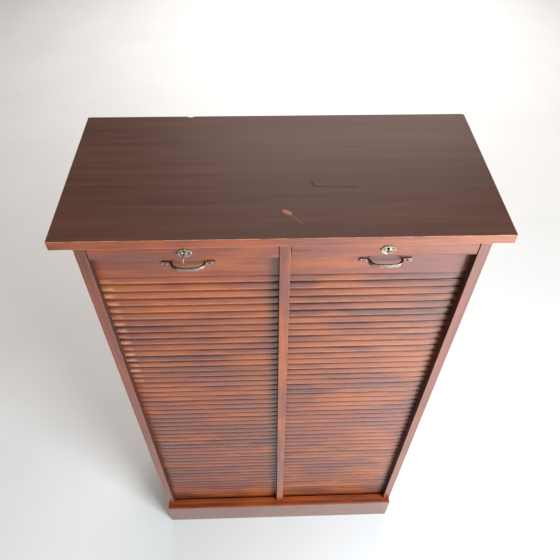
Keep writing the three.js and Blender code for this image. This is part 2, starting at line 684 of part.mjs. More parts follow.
// The escutcheon is a plate with a crowned top, pointed ends and a rounded foot.
function escutcheon(bay) {
  const halfWidth = PLATE_WIDTH / 2;
  const halfHeight = PLATE_HEIGHT / 2;
  const tip = halfHeight * 0.25;
  const outline = new THREE.Shape();
  outline.moveTo(-halfWidth, tip);
  outline.bezierCurveTo(-halfWidth * 0.8, -halfHeight * 0.7, -halfWidth * 0.4, -halfHeight, 0, -halfHeight);
  outline.bezierCurveTo(halfWidth * 0.4, -halfHeight, halfWidth * 0.8, -halfHeight * 0.7, halfWidth, tip);
  outline.bezierCurveTo(halfWidth * 0.95, halfHeight * 0.7, halfWidth * 0.5, halfHeight, 0, halfHeight);
  outline.bezierCurveTo(-halfWidth * 0.5, halfHeight, -halfWidth * 0.95, halfHeight * 0.7, -halfWidth, tip);
  const seat = RAIL_BAND_INSET - FIT;
  const x = plateX(bay);
  const body = extrudeY(new THREE.Shape(outline.getPoints(6).slice(0, -1)), seat - PLATE_THICKNESS, seat, 1)
    .translate(x, 0, PLATE_Z);
  const pinHoles = pairAbout(x, halfWidth - PIN_INSET).map((pinX) => (
    barY(PIN_RADIUS + SCREW_CLEARANCE, seat - OVERCUT, seat + OVERCUT, 8).translate(pinX, 0, PLATE_Z)
  ));
  const holes = [keyhole(x, seat - OVERCUT, seat + OVERCUT), ...pinHoles];
  return named(`${bay.side}_escutcheon`, cut(body, holes), AGED_BRASS);
}

// The lock case is a hollow box with a keyhole in front and a slot on top for the bolt.
function lockCase(bay) {
  const x = plateX(bay);
  const bottom = LOCK_TOP - LOCK_HEIGHT;
  const back = LOCK_FRONT + LOCK_DEPTH;
  const body = block([x - LOCK_WIDTH / 2, LOCK_FRONT, bottom], [x + LOCK_WIDTH / 2, back, LOCK_TOP]);
  const hollow = block(
    [x - LOCK_WIDTH / 2 + LOCK_WALL, LOCK_FRONT + LOCK_WALL, bottom + LOCK_WALL],
    [x + LOCK_WIDTH / 2 - LOCK_WALL, back - LOCK_WALL, LOCK_TOP - LOCK_WALL],
  );
  const slot = block(
    [x - BOLT_WIDTH / 2 - BOLT_CLEARANCE, BOLT_FRONT - BOLT_CLEARANCE, LOCK_TOP - LOCK_WALL - 1],
    [x + BOLT_WIDTH / 2 + BOLT_CLEARANCE, BOLT_BACK + BOLT_CLEARANCE, LOCK_TOP + OVERCUT],
  );
  const hole = keyhole(x, LOCK_FRONT - OVERCUT, LOCK_FRONT + LOCK_WALL + FIT);
  return named(`${bay.side}_lock_case`, cut(body, [hollow, slot, hole]), DARK_STEEL);
}

// The bolt is a flat bar with a notch where the key's bit lifts it.
function lockBolt(bay) {
  const body = block(
    [-BOLT_WIDTH / 2, BOLT_FRONT, -BOLT_LENGTH],
    [BOLT_WIDTH / 2, BOLT_BACK, 0],
  );
  const notch = block(
    [-BOLT_WIDTH / 6, BOLT_FRONT - OVERCUT, -BOLT_LENGTH - OVERCUT],
    [BOLT_WIDTH / 6, BOLT_BACK + OVERCUT, -BOLT_LENGTH + BOLT_THICKNESS],
  );
  const mesh = named(`${bay.side}_bolt`, cut(body, [notch]), AGED_BRASS);
  mesh.position.set(plateX(bay), 0, LOCK_TOP - FIT);
  return mesh;
}

// The key: a round shank, a flat ring bow that stands upright, and a bit inside the lock.
function lockKey(bay) {
  const bitFront = LOCK_FRONT + LOCK_WALL + BOLT_CLEARANCE;
  const bitBack = bitFront + KEY_BIT_WIDTH;
  const neckEnd = RAIL_BAND_INSET - KEY_NECK;
  const bowY = neckEnd - KEY_BOW_RADIUS + 1;
  const disc = (radius, thickness) => (
    new THREE.CylinderGeometry(radius, radius, thickness, 20).rotateZ(Math.PI / 2).translate(0, bowY, 0)
  );
  const hole = disc(KEY_BOW_HOLE_RADIUS, KEY_BOW_THICKNESS + 2);
  const bow = cut(disc(KEY_BOW_RADIUS, KEY_BOW_THICKNESS), [hole]);
  const shank = barY(KEY_SHANK_RADIUS, neckEnd - 1, bitBack, 12);
  const bit = block(
    [-KEY_BIT_THICKNESS / 2, bitFront, -KEY_BIT_REACH],
    [KEY_BIT_THICKNESS / 2, bitBack, 0],
  );
  const mesh = named(`${bay.side}_key`, join([shank, bow, bit]), AGED_BRASS);
  mesh.position.set(plateX(bay), 0, KEY_Z);
  return mesh;
}

// One shutter: its rail with everything fixed to it, and its curtain from the rail to the tail.
function shutter(bay) {
  const group = new THREE.Group();
  const pullX = (bay.from + bay.to) / 2 + bay.pullShift;
  group.add(lockRail(bay, pullX));
  group.add(pullHandle(bay, pullX));
  pairAbout(pullX, PULL_LENGTH / 2 - PULL_SCREW_INSET).forEach((x, index) => {
    group.add(pullScrew(`${bay.side}_pull_screw_${index + 1}`, x));
  });
  group.add(escutcheon(bay));
  pairAbout(plateX(bay), PLATE_WIDTH / 2 - PIN_INSET).forEach((x, index) => {
    group.add(platePin(`${bay.side}_escutcheon_pin_${index + 1}`, x));
  });
  group.add(lockCase(bay));
  group.add(lockBolt(bay));
  if (bay.hasKey) {
    group.add(lockKey(bay));
  }
  const canvas = FRONT_TRACK_Y + CURTAIN_THICKNESS / 2;
  group.add(straightCurtain(`${bay.side}_curtain`, bay, canvas, -1, CURVE_TOP, FRONT_SLATS));
  group.add(turnCurtain(bay));
  const tailCanvas = REAR_TRACK_Y - CURTAIN_THICKNESS / 2;
  group.add(straightCurtain(`${bay.side}_curtain_tail`, bay, tailCanvas, 1, CURVE_TOP, TAIL_SLATS));
  return group;
}

function carcass() {
  const group = new THREE.Group();
  group.add(topBoard());
  group.add(sidePanel('left_side_panel', -1));
  group.add(sidePanel('right_side_panel', 1));
  group.add(centreDivider());
  group.add(plinthFront());
  group.add(glueBlock('left_glue_block', -1));
  group.add(glueBlock('right_glue_block', 1));
  group.add(dustBoard());
  group.add(backFrame());
  return group;
}

const cabinet = new THREE.Group();
cabinet.add(carcass());
for (const bay of BAYS) {
  cabinet.add(strikePlate(bay));
  cabinet.add(sill(bay));
  cabinet.add(bayInterior(bay));
  cabinet.add(shutter(bay));
}

// The origin is the middle of the underside of the whole cabinet's box.
const bounds = new THREE.Box3().setFromObject(cabinet);
const centre = bounds.getCenter(new THREE.Vector3());
cabinet.position.set(-centre.x, -centre.y, -bounds.min.z);
cabinet.updateMatrixWorld(true);

export default cabinet;
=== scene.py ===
"""A filing cabinet with two roller shutters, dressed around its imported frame.

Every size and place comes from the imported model, in metres, with Z up and the front towards -Y.
Each sub-assembly is a class that builds its pieces and dresses them in the finishes defined first.
"""

import logging
import math
import random
from collections.abc import Callable, Sequence
from dataclasses import dataclass, field
from enum import Enum

import bmesh
import bpy
import numpy as np
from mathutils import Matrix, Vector


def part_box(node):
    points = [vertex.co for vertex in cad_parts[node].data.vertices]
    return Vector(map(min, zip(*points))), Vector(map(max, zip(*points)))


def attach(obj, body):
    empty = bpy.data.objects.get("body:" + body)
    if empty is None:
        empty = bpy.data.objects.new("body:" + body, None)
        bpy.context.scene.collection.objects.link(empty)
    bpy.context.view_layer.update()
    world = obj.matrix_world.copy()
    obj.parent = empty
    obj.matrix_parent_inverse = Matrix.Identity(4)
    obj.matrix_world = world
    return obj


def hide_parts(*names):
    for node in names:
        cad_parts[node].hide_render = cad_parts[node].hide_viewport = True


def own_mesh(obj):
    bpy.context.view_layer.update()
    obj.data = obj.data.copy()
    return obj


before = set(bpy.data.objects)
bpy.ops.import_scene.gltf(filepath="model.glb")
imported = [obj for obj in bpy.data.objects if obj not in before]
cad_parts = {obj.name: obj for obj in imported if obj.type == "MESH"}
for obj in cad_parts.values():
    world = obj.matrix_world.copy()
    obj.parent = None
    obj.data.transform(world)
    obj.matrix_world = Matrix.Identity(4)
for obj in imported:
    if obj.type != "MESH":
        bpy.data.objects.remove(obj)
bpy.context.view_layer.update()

log = logging.getLogger("cabinet")

Colour = tuple[float, float, float]
Triple = tuple[float, float, float]
Span = tuple[float, float]
Spans = tuple[Span, ...]
MM = 0.001
WELD_WITHIN = 1e-5
FLAT_BELOW = math.radians(0.5)
SHARP_ABOVE = math.radians(35)
SMOOTH_BELOW = math.radians(38)
NODE_SHARP_ABOVE = math.radians(40)
GRAIN_SHIFT = 9.0
TONE_CHANCE = 0.5
KEY_ABOVE_PLATE_CENTRE = 3.0 * MM
METAL_EASING = 0.3 * MM
SLAT_EASING = 0.4 * MM
CROWN = 0.03
TINY = 1e-6


class Slot(Enum):
    """The record's material slots."""

    TOP = "top_stain"
    FRONT = "front_stain"
    SIDE = "side_stain"
    SLAT = "slat_wood"
    INNER = "inner_wood"
    BACK = "back_wood"
    BRASS = "aged_brass"
    BRONZE = "bronze"
    STEEL = "dark_steel"


class Grain(Enum):
    """Which way a board's fibres run, as the order of the axes: along, across, through."""

    ACROSS_FRONT = (0, 2, 1)
    UPRIGHT = (2, 0, 1)


class Side(Enum):
    """The two bays."""

    LEFT = "left"
    RIGHT = "right"

    @property
    def shutter(self) -> str:
        """The body that slides down in this bay."""
        return f"{self.value}_shutter"

    @property
    def slide(self) -> str:
        """The joint that this bay's shutter slides on."""
        return f"{self.value}_shutter_slide"

    def node(self, name: str) -> str:
        """A node's name in this bay."""
        return f"{self.value}_{name}"


# ---------------------------------------------------------------- finishes


class Graph:
    """The nodes of one material, with short calls for the kinds used here."""

    def __init__(self, name: str) -> None:
        """Starts a material with a shader wired to its output.

        Args:
            name: the material's name.
        """
        self.material = bpy.data.materials.new(name)
        self.material.use_nodes = True
        self.tree = self.material.node_tree
        self.tree.nodes.clear()
        self.shader = self.add("ShaderNodeBsdfPrincipled")
        out = self.add("ShaderNodeOutputMaterial")
        self.wire(self.shader.outputs[0], out.inputs[0])

    def add(self, kind: str, **settings: object) -> bpy.types.Node:
        """Adds one node.

        Args:
            kind: the node's type.
            settings: properties to set on it.

        Returns:
            The new node.
        """
        node = self.tree.nodes.new(kind)
        for key, value in settings.items():
            setattr(node, key, value)
        return node

    def wire(self, source: object, target: bpy.types.NodeSocket) -> None:
        """Joins a socket to an input, or sets the input when given a plain value."""
        if isinstance(source, bpy.types.NodeSocket):
            self.tree.links.new(source, target)
        else:
            target.default_value = source

    def math(self, operation: str, a: object, b: object = 0.0, clamp: bool = False) -> object:
        """Does one sum on two numbers and returns its socket."""
        node = self.add("ShaderNodeMath", operation=operation, use_clamp=clamp)
        self.wire(a, node.inputs[0])
        self.wire(b, node.inputs[1])
        return node.outputs[0]

    def plus(self, a: object, b: object, clamp: bool = False) -> object:
        """Adds two numbers."""
        return self.math("ADD", a, b, clamp)

    def times(self, a: object, b: object, clamp: bool = False) -> object:
        """Multiplies two numbers."""
        return self.math("MULTIPLY", a, b, clamp)

    def vector(self, operation: str, a: object, b: object) -> bpy.types.Node:
        """Does one sum on two vectors and returns the node."""
        node = self.add("ShaderNodeVectorMath", operation=operation)
        self.wire(a, node.inputs[0])
        self.wire(b, node.inputs[1])
        return node

    def noise(self, at: object, per_metre: Sequence[float], detail: float = 4.0) -> object:
        """Noise with its own scale along each axis.

        Args:
            at: the point's socket.
            per_metre: how many features a metre holds along each axis.
            detail: how many finer layers it has.

        Returns:
            The noise's value socket, around 0.5.
        """
        scaled = self.vector("MULTIPLY", at, tuple(per_metre)).outputs[0]
        node = self.add("ShaderNodeTexNoise")
        self.wire(scaled, node.inputs["Vector"])
        node.inputs["Scale"].default_value = 1.0
        node.inputs["Detail"].default_value = detail
        return node.outputs[0]

    def span(self, value: object, low: float, high: float, to: Sequence[float] = (0.0, 1.0)) -> object:
        """Maps low and high to the two ends of `to`, held inside them."""
        node = self.add("ShaderNodeMapRange", clamp=True)
        self.wire(value, node.inputs[0])
        for socket, number in zip(node.inputs[1:5], (low, high, *to)):
            socket.default_value = number
        return node.outputs[0]

    def mix(self, share: object, a: object, b: object) -> object:
        """Mixes two colours and returns the colour socket."""
        node = self.add("ShaderNodeMix", data_type="RGBA")
        self.wire(share, node.inputs[0])
        self.wire(a if isinstance(a, bpy.types.NodeSocket) else (*a, 1.0), node.inputs[6])
        self.wire(b if isinstance(b, bpy.types.NodeSocket) else (*b, 1.0), node.inputs[7])
        return node.outputs[2]

    def ramp(self, value: object, shades: Sequence[Colour]) -> object:
        """Runs evenly through the shades as value goes from 0 to 1."""
        node = self.add("ShaderNodeValToRGB")
        stops = node.color_ramp.elements
        while len(stops) < len(shades):
            stops.new(0.5)
        for index, shade in enumerate(shades):
            stops[index].position = index / (len(shades) - 1)
            stops[index].color = (*shade, 1.0)
        self.wire(value, node.inputs[0])
        return node.outputs[0]

    def kept(self, name: str, output: str = "Fac") -> object:
        """Reads a value kept on the mesh."""
        node = self.add("ShaderNodeAttribute", attribute_type="GEOMETRY", attribute_name=name)
        return node.outputs[output]

    def bump(self, height: object, depth: float, under: object = None) -> object:
        """Adds relief of a real depth in metres over what is under it."""
        node = self.add("ShaderNodeBump")
        node.inputs["Distance"].default_value = depth
        self.wire(height, node.inputs["Height"])
        if under is not None:
            self.wire(under, node.inputs["Normal"])
        return node.outputs[0]

    def place(self) -> object:
        """The point in the piece's own frame."""
        return self.add("ShaderNodeTexCoord").outputs["Object"]

    def surface(self, colour: object, rough: object, normal: object = None,
                **fixed: object) -> bpy.types.Material:
        """Wires up the shader and hands over the material.

        Args:
            colour: the base colour.
            rough: the roughness.
            normal: the normal with its relief.
            fixed: values for the shader's own sockets; an underscore stands for a space.

        Returns:
            The material.
        """
        for name, value in (("Base Color", colour), ("Roughness", rough), ("Normal", normal)):
            if value is not None:
                self.wire(value, self.shader.inputs[name])
        for name, value in fixed.items():
            self.shader.inputs[name.replace("_", " ")].default_value = value
        return self.material


@dataclass(frozen=True)
class Mark:
    """A stain or scuff along a short line on the top, from the board's centre, in metres."""

    points: Spans
    width: float
    colour: Colour
    strength: float


@dataclass(frozen=True)
class Fibres:
    """The layers of grain that every wood shares, as shares, features per metre and spans."""

    figure_share: float = 0.40
    streak_share: float = 0.38
    cloud_share: float = 0.22
    tone_share: float = 0.3
    streak_finer: float = 3.2
    cloud_longer: float = 0.75
    clouds: float = 7.0
    half_range: float = 0.16
    patch_longer: float = 1.75
    patches: float = 22.0
    ageing: Triple = (5.0, 5.0, 9.0)
    blush_span: Span = (0.96, 1.22)
    glow_span: Span = (1.02, 0.78)
    pores: Triple = (80.0, 1500.0, 1500.0)
    pore_span: Span = (0.58, 0.72)
    pore_shade: float = 0.35
    # Patches that break up both the wear and the painted highlights.
    wear_and_light_patches: Triple = (45.0, 90.0, 90.0)
    wear_and_light_span: Span = (0.35, 0.6)
    least_wear_and_light: float = 0.25
    rough_span: Span = (0.38, 0.62)
    rough_cloud: float = 0.7
    pore_sink: float = 0.6
    fine_relief: float = 0.12 * MM
    figure_relief: float = 0.3 * MM
    mark_noise: float = 260.0
    mark_edge: Span = (0.8, 1.5)


FIBRES = Fibres()


@dataclass(frozen=True)
class WoodFinish:
    """Stained wood under a thin polish."""

    name: str
    shades: tuple[Colour, ...]
    # The colour of worn places; on the slats also the colour of the painted highlight and glints.
    worn_and_lit: Colour
    figure: float = 30.0
    contrast: float = 1.0
    gloss: Span = (0.30, 0.46)
    polish: float = 0.25
    coat_roughness: float = 0.22
    shine: float = 0.5
    board_width: float = 0.0
    board_length: float = 0.0
    board_change: float = 0.22
    # The colour of painted shade, laid where the kept value is below 0: in and towards the gaps between
    # slats.
    painted_shade: Colour = (0.030, 0.010, 0.007)
    blush: Colour = (0.120, 0.034, 0.030)
    glow: Colour = (0.350, 0.082, 0.011)
    blotches: float = 0.0
    length: float = 0.35
    tint: Colour = (1.0, 1.0, 1.0)
    marks: tuple[Mark, ...] = ()

    def material(self, grain: Grain | None = None) -> bpy.types.Material:
        """Makes the wood's material.

        Args:
            grain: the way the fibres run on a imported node. A piece that carries its own grain
                coordinates leaves it out.

        Returns:
            The material.
        """
        g = Graph(self.name if grain is None else f"{self.name}_{grain.name.lower()}")
        at = self._along_fibres(g, grain)
        along, fine = 1.0 / self.length, self.figure * FIBRES.streak_finer
        figure = g.noise(at, (along, self.figure, self.figure), 5.0)
        streak = g.noise(at, (along * FIBRES.streak_finer, fine, fine), 4.0)
        cloud = g.noise(at, (along * FIBRES.cloud_longer, FIBRES.clouds, FIBRES.clouds), 2.0)
        value = g.times(figure, FIBRES.figure_share)
        value = g.plus(value, g.times(streak, FIBRES.streak_share))
        value = g.plus(value, g.times(cloud, FIBRES.cloud_share))
        half = FIBRES.half_range / self.contrast
        value = g.span(value, 0.5 - half, 0.5 + half)
        value = g.plus(value, g.times(g.kept("tone"), FIBRES.tone_share))
        for axis, size in enumerate((self.board_length, self.board_width)):
            if size:
                value = g.plus(value, self._boards(g, at, axis, size))
        colour = g.ramp(value, self.shades)
        if self.blotches:
            aged = g.plus(g.noise(at, (along * FIBRES.patch_longer, FIBRES.patches, FIBRES.patches), 2.0),
                          g.noise(g.place(), FIBRES.ageing, 3.0))
            for ends, shade in ((FIBRES.blush_span, self.blush), (FIBRES.glow_span, self.glow)):
                colour = g.mix(g.span(aged, *ends, (0.0, self.blotches)), colour, shade)
        pores = g.span(g.noise(at, FIBRES.pores, 2.0), *FIBRES.pore_span)
        colour = g.mix(g.times(pores, FIBRES.pore_shade), colour, self.shades[0])
        colour = self._worn_lit_and_marked(g, at, colour)
        rough = g.plus(g.times(cloud, FIBRES.rough_cloud), g.times(streak, 1.0 - FIBRES.rough_cloud))
        relief = g.bump(g.math("SUBTRACT", streak, g.times(pores, FIBRES.pore_sink)), FIBRES.fine_relief)
        return g.surface(colour, g.span(rough, *FIBRES.rough_span, self.gloss),
                         g.bump(figure, FIBRES.figure_relief, relief), Coat_Weight=self.polish,
                         Coat_Roughness=self.coat_roughness, Specular_IOR_Level=self.shine,
                         Specular_Tint=(*self.tint, 1.0))

    def _worn_lit_and_marked(self, g: Graph, at: object, colour: object) -> object:
        """Lays the worn places and painted highlights, the painted shade and the marks over the colour."""
        wear = g.kept("wear")
        patchy = g.span(g.noise(at, FIBRES.wear_and_light_patches, 3.0), *FIBRES.wear_and_light_span, (FIBRES.least_wear_and_light, 1.0))
        # Above 0 lightens: real wear on rounded edges, and on the slats a painted highlight and painted
        # glints.
        colour = g.mix(g.times(g.times(wear, patchy), 1.0, True), colour, self.worn_and_lit)
        # Below 0 darkens: painted shade in and towards the gaps between slats.
        colour = g.mix(g.times(wear, -1.0, True), colour, self.painted_shade)
        for mark in self.marks:
            colour = g.mix(self._mark(g, mark), colour, mark.colour)
        return colour

    def _along_fibres(self, g: Graph, grain: Grain | None) -> object:
        """The point as along, across and through the fibres."""
        if grain is None:
            return g.kept("grain_at", "Vector")
        parts = g.add("ShaderNodeSeparateXYZ")
        g.wire(g.place(), parts.inputs[0])
        joined = g.add("ShaderNodeCombineXYZ")
        for target, axis in enumerate(grain.value):
            g.wire(parts.outputs[axis], joined.inputs[target])
        return joined.outputs[0]

    def _boards(self, g: Graph, at: object, axis: int, size: float) -> object:
        """A change of tone from one glued-up board to the next, along (0) or across (1) the fibres."""
        parts = g.add("ShaderNodeSeparateXYZ")
        g.wire(at, parts.inputs[0])
        number = g.math("FLOOR", g.math("DIVIDE", parts.outputs[axis], size))
        chance = g.add("ShaderNodeTexWhiteNoise", noise_dimensions="1D")
        g.wire(number, chance.inputs["W"])
        return g.times(g.math("SUBTRACT", chance.outputs[0], 0.5), self.board_change)

    def _mark(self, g: Graph, mark: Mark) -> object:
        """How strongly a mark shows, from the distance to its line."""
        lo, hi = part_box("top_board")
        centre = (lo + hi) / 2
        flat = g.vector("MULTIPLY", g.place(), (1.0, 1.0, 0.0)).outputs[0]
        nearest: object = 1.0
        for a, b in zip(mark.points, mark.points[1:]):
            start = Vector((centre.x + a[0], centre.y + a[1], 0.0))
            run = Vector((b[0] - a[0], b[1] - a[1], 0.0))
            offset = g.vector("SUBTRACT", flat, tuple(start)).outputs[0]
            along = g.vector("DOT_PRODUCT", offset, tuple(run / run.length_squared)).outputs["Value"]
            along = g.times(along, 1.0, True)
            step = g.add("ShaderNodeVectorMath", operation="SCALE")
            step.inputs[0].default_value = tuple(run)
            g.wire(along, step.inputs["Scale"])
            gap = g.vector("SUBTRACT", offset, step.outputs[0]).outputs[0]
            distance = g.vector("LENGTH", gap, (0.0, 0.0, 0.0)).outputs["Value"]
            nearest = g.math("MINIMUM", nearest, distance)
        ragged = g.noise(flat, (FIBRES.mark_noise, FIBRES.mark_noise, 1.0), 3.0)
        inner, outer = (mark.width * share for share in FIBRES.mark_edge)
        return g.span(g.plus(nearest, g.times(ragged, mark.width)), inner, outer, (mark.strength, 0.0))


@dataclass(frozen=True)
class MetalFinish:
    """Metal that has tarnished, with the rims rubbed bright."""

    name: str
    bright: Colour
    dull: Colour
    gloss: Span = (0.26, 0.5)
    spots: Triple = (170.0, 170.0, 170.0)
    spot_span: Span = (0.36, 0.62)
    scratches: Triple = (2600.0, 500.0, 350.0)
    scratch_share: float = 0.3
    rough_span: Span = (0.45, 0.8)
    rim: float = 0.75
    spot_relief: float = 0.12 * MM
    scratch_relief: float = 0.03 * MM

    def material(self, grain: Grain | None = None) -> bpy.types.Material:
        """Makes the metal's material.

        Args:
            grain: not used, because metal has none.

        Returns:
            The material.
        """
        g = Graph(self.name)
        at, wear = g.place(), g.kept("wear")
        tarnish = g.noise(at, self.spots, 5.0)
        share = g.plus(g.span(tarnish, *self.spot_span), g.times(wear, -1.0, True), True)
        colour = g.mix(share, self.bright, self.dull)
        colour = g.mix(g.times(wear, self.rim, True), colour, self.bright)
        scratch = g.noise(at, self.scratches, 2.0)
        rough = g.span(g.plus(tarnish, g.times(scratch, self.scratch_share)), *self.rough_span, self.gloss)
        relief = g.bump(scratch, self.scratch_relief, g.bump(tarnish, self.spot_relief))
        return g.surface(colour, rough, relief, Metallic=1.0)


@dataclass(frozen=True)
class CanvasFinish:
    """Woven brown linen, its dark colour partly painted shade for the gaps between the slats."""

    name: str
    thread: Colour
    gap: Colour
    wave_scale: float = 55.0
    unevenness: float = 0.6
    patches: Triple = (9.0, 9.0, 9.0)
    patch_span: Span = (0.3, 0.7)
    cleanest: Span = (0.5, 1.0)
    gloss: Span = (0.8, 0.95)
    relief: float = 0.25 * MM
    sheen: float = 0.2

    def material(self, grain: Grain | None = None) -> bpy.types.Material:
        """Makes the canvas's material.

        Args:
            grain: not used, because the weave follows the piece.

        Returns:
            The material.
        """
        g = Graph(self.name)
        at = g.kept("grain_at", "Vector")
        weave = []
        for direction in ("X", "Y"):
            wave = g.add("ShaderNodeTexWave", bands_direction=direction)
            wave.inputs["Scale"].default_value = self.wave_scale
            wave.inputs["Distortion"].default_value = self.unevenness
            g.wire(at, wave.inputs["Vector"])
            weave.append(wave.outputs["Fac"])
        cloth = g.times(*weave)
        soiled = g.noise(at, self.patches, 4.0)
        share = g.times(cloth, g.span(soiled, *self.patch_span, self.cleanest))
        return g.surface(g.mix(share, self.gap, self.thread), g.span(soiled, *self.patch_span, self.gloss),
                         g.bump(cloth, self.relief), Sheen_Weight=self.sheen)


@dataclass(frozen=True)
class StudioFinish:
    """A matt pale floor with a faint unevenness."""

    name: str
    pale: Colour
    shade: Colour
    patch: float
    patch_span: Span = (0.3, 0.7)
    roughness: float = 0.75

    def material(self) -> bpy.types.Material:
        """Makes the floor's material."""
        g = Graph(self.name)
        cloud = g.noise(g.place(), (self.patch,) * 3, 4.0)
        return g.surface(g.mix(g.span(cloud, *self.patch_span), self.pale, self.shade), self.roughness)


INK_BLOT = Mark(((0.0587, -0.0396), (0.0604, -0.0457)), 0.0046, (0.012, 0.010, 0.007), 0.9)
INK_RUN = Mark(((0.0604, -0.0457), (0.0622, -0.0514), (0.0921, -0.0532), (0.1443, -0.0552)),
               0.0028, (0.016, 0.012, 0.009), 0.85)
SCUFF = Mark(((0.0037, -0.1212), (0.0123, -0.1275)), 0.0058, (0.66, 0.27, 0.14), 0.9)
SCRATCH = Mark(((0.0123, -0.1275), (0.0350, -0.1553)), 0.0024, (0.36, 0.17, 0.10), 0.45)

TOP_FACE = WoodFinish(
    "top_polish", ((0.074, 0.030, 0.022), (0.142, 0.060, 0.043), (0.222, 0.099, 0.072)),
    (0.36, 0.14, 0.07), figure=34.0, contrast=0.6, board_width=0.096, gloss=(0.36, 0.50), polish=0.0,
    shine=0.17, length=0.6, tint=(1.0, 0.78, 0.74), marks=(INK_BLOT, INK_RUN, SCRATCH, SCUFF))
TOP_EDGE = WoodFinish(
    "top_edge", ((0.150, 0.020, 0.002), (0.320, 0.052, 0.004), (0.44, 0.086, 0.008)),
    (0.66, 0.34, 0.18), figure=70.0, polish=0.6, blotches=0.5, length=0.25, board_length=0.21,
    board_change=0.5)
FRONT = WoodFinish(
    "front_polish", ((0.067, 0.010, 0.003), (0.215, 0.033, 0.005), (0.335, 0.062, 0.008)),
    (0.38, 0.11, 0.035), figure=62.0, polish=0.6, gloss=(0.24, 0.38), blotches=0.6, length=0.25)
PLINTH = WoodFinish(
    "plinth_polish", ((0.078, 0.021, 0.011), (0.156, 0.042, 0.019), (0.23, 0.068, 0.029)),
    (0.44, 0.16, 0.08), figure=62.0, polish=0.7, gloss=(0.22, 0.34))
SIDE = WoodFinish(
    "side_polish", ((0.074, 0.017, 0.009), (0.170, 0.037, 0.017), (0.267, 0.066, 0.029)),
    (0.44, 0.17, 0.09), figure=40.0, polish=0.5, gloss=(0.24, 0.38), blotches=0.2, contrast=0.8,
    length=1.1)
# Painted shade for faces standing in the recesses beside the shutters.
RECESS_SHADE = WoodFinish(
    "recess_shade", ((0.020, 0.005, 0.003), (0.048, 0.011, 0.007), (0.08, 0.020, 0.012)),
    (0.10, 0.03, 0.02), gloss=(0.5, 0.7), polish=0.0)
# The slats' pale colour is also what their painted highlight and painted glints take.
SLAT = WoodFinish(
    "slat_polish", ((0.066, 0.012, 0.005), (0.202, 0.036, 0.009), (0.332, 0.073, 0.015)),
    (0.60, 0.29, 0.18), figure=90.0, contrast=0.85, gloss=(0.22, 0.38), polish=0.6, blotches=0.6,
    length=0.25)
INNER = WoodFinish(
    "inner_oak", ((0.22, 0.10, 0.045), (0.40, 0.21, 0.10), (0.52, 0.30, 0.16)),
    (0.60, 0.40, 0.24), gloss=(0.5, 0.68), polish=0.0, contrast=0.8, length=0.9)
BACK = WoodFinish(
    "back_wood", ((0.13, 0.055, 0.028), (0.25, 0.115, 0.058), (0.36, 0.18, 0.10)),
    (0.45, 0.26, 0.15), gloss=(0.48, 0.66), polish=0.0, contrast=0.7, length=1.2)
BRASS = MetalFinish("aged_brass", (0.56, 0.49, 0.39), (0.17, 0.13, 0.09))
BRONZE = MetalFinish("worn_bronze", (0.42, 0.315, 0.275), (0.040, 0.023, 0.020), gloss=(0.38, 0.58))
KEY_METAL = MetalFinish("key_metal", (0.46, 0.35, 0.28), (0.075, 0.05, 0.036))
# Near-black painted shade for the floor of each keyhole.
KEYHOLE_SHADE = MetalFinish("keyhole_shade", (0.012, 0.010, 0.009), (0.006, 0.005, 0.005), gloss=(0.5, 0.7))
STEEL = MetalFinish("dark_steel", (0.22, 0.22, 0.23), (0.06, 0.055, 0.055), gloss=(0.38, 0.6))
# The canvas is kept dark, partly as painted shade in the gaps between slats.
CANVAS = CanvasFinish("shutter_canvas", (0.15, 0.09, 0.055), (0.04, 0.022, 0.014))
FLOOR = StudioFinish("pale_floor", (0.78, 0.78, 0.765), (0.74, 0.74, 0.73), 2.5)

Finish = WoodFinish | MetalFinish | CanvasFinish


class Palette:
    """Makes each material once and hands it out again."""

    _made: dict[tuple[str, Grain | None], bpy.types.Material] = {}

    @classmethod
    def of(cls, finish: Finish, grain: Grain | None = None) -> bpy.types.Material:
        """The material for a finish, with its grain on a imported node."""
        key = (finish.name, grain)
        if key not in cls._made:
            cls._made[key] = finish.material(grain)
        return cls._made[key]


# ---------------------------------------------------------------- making pieces


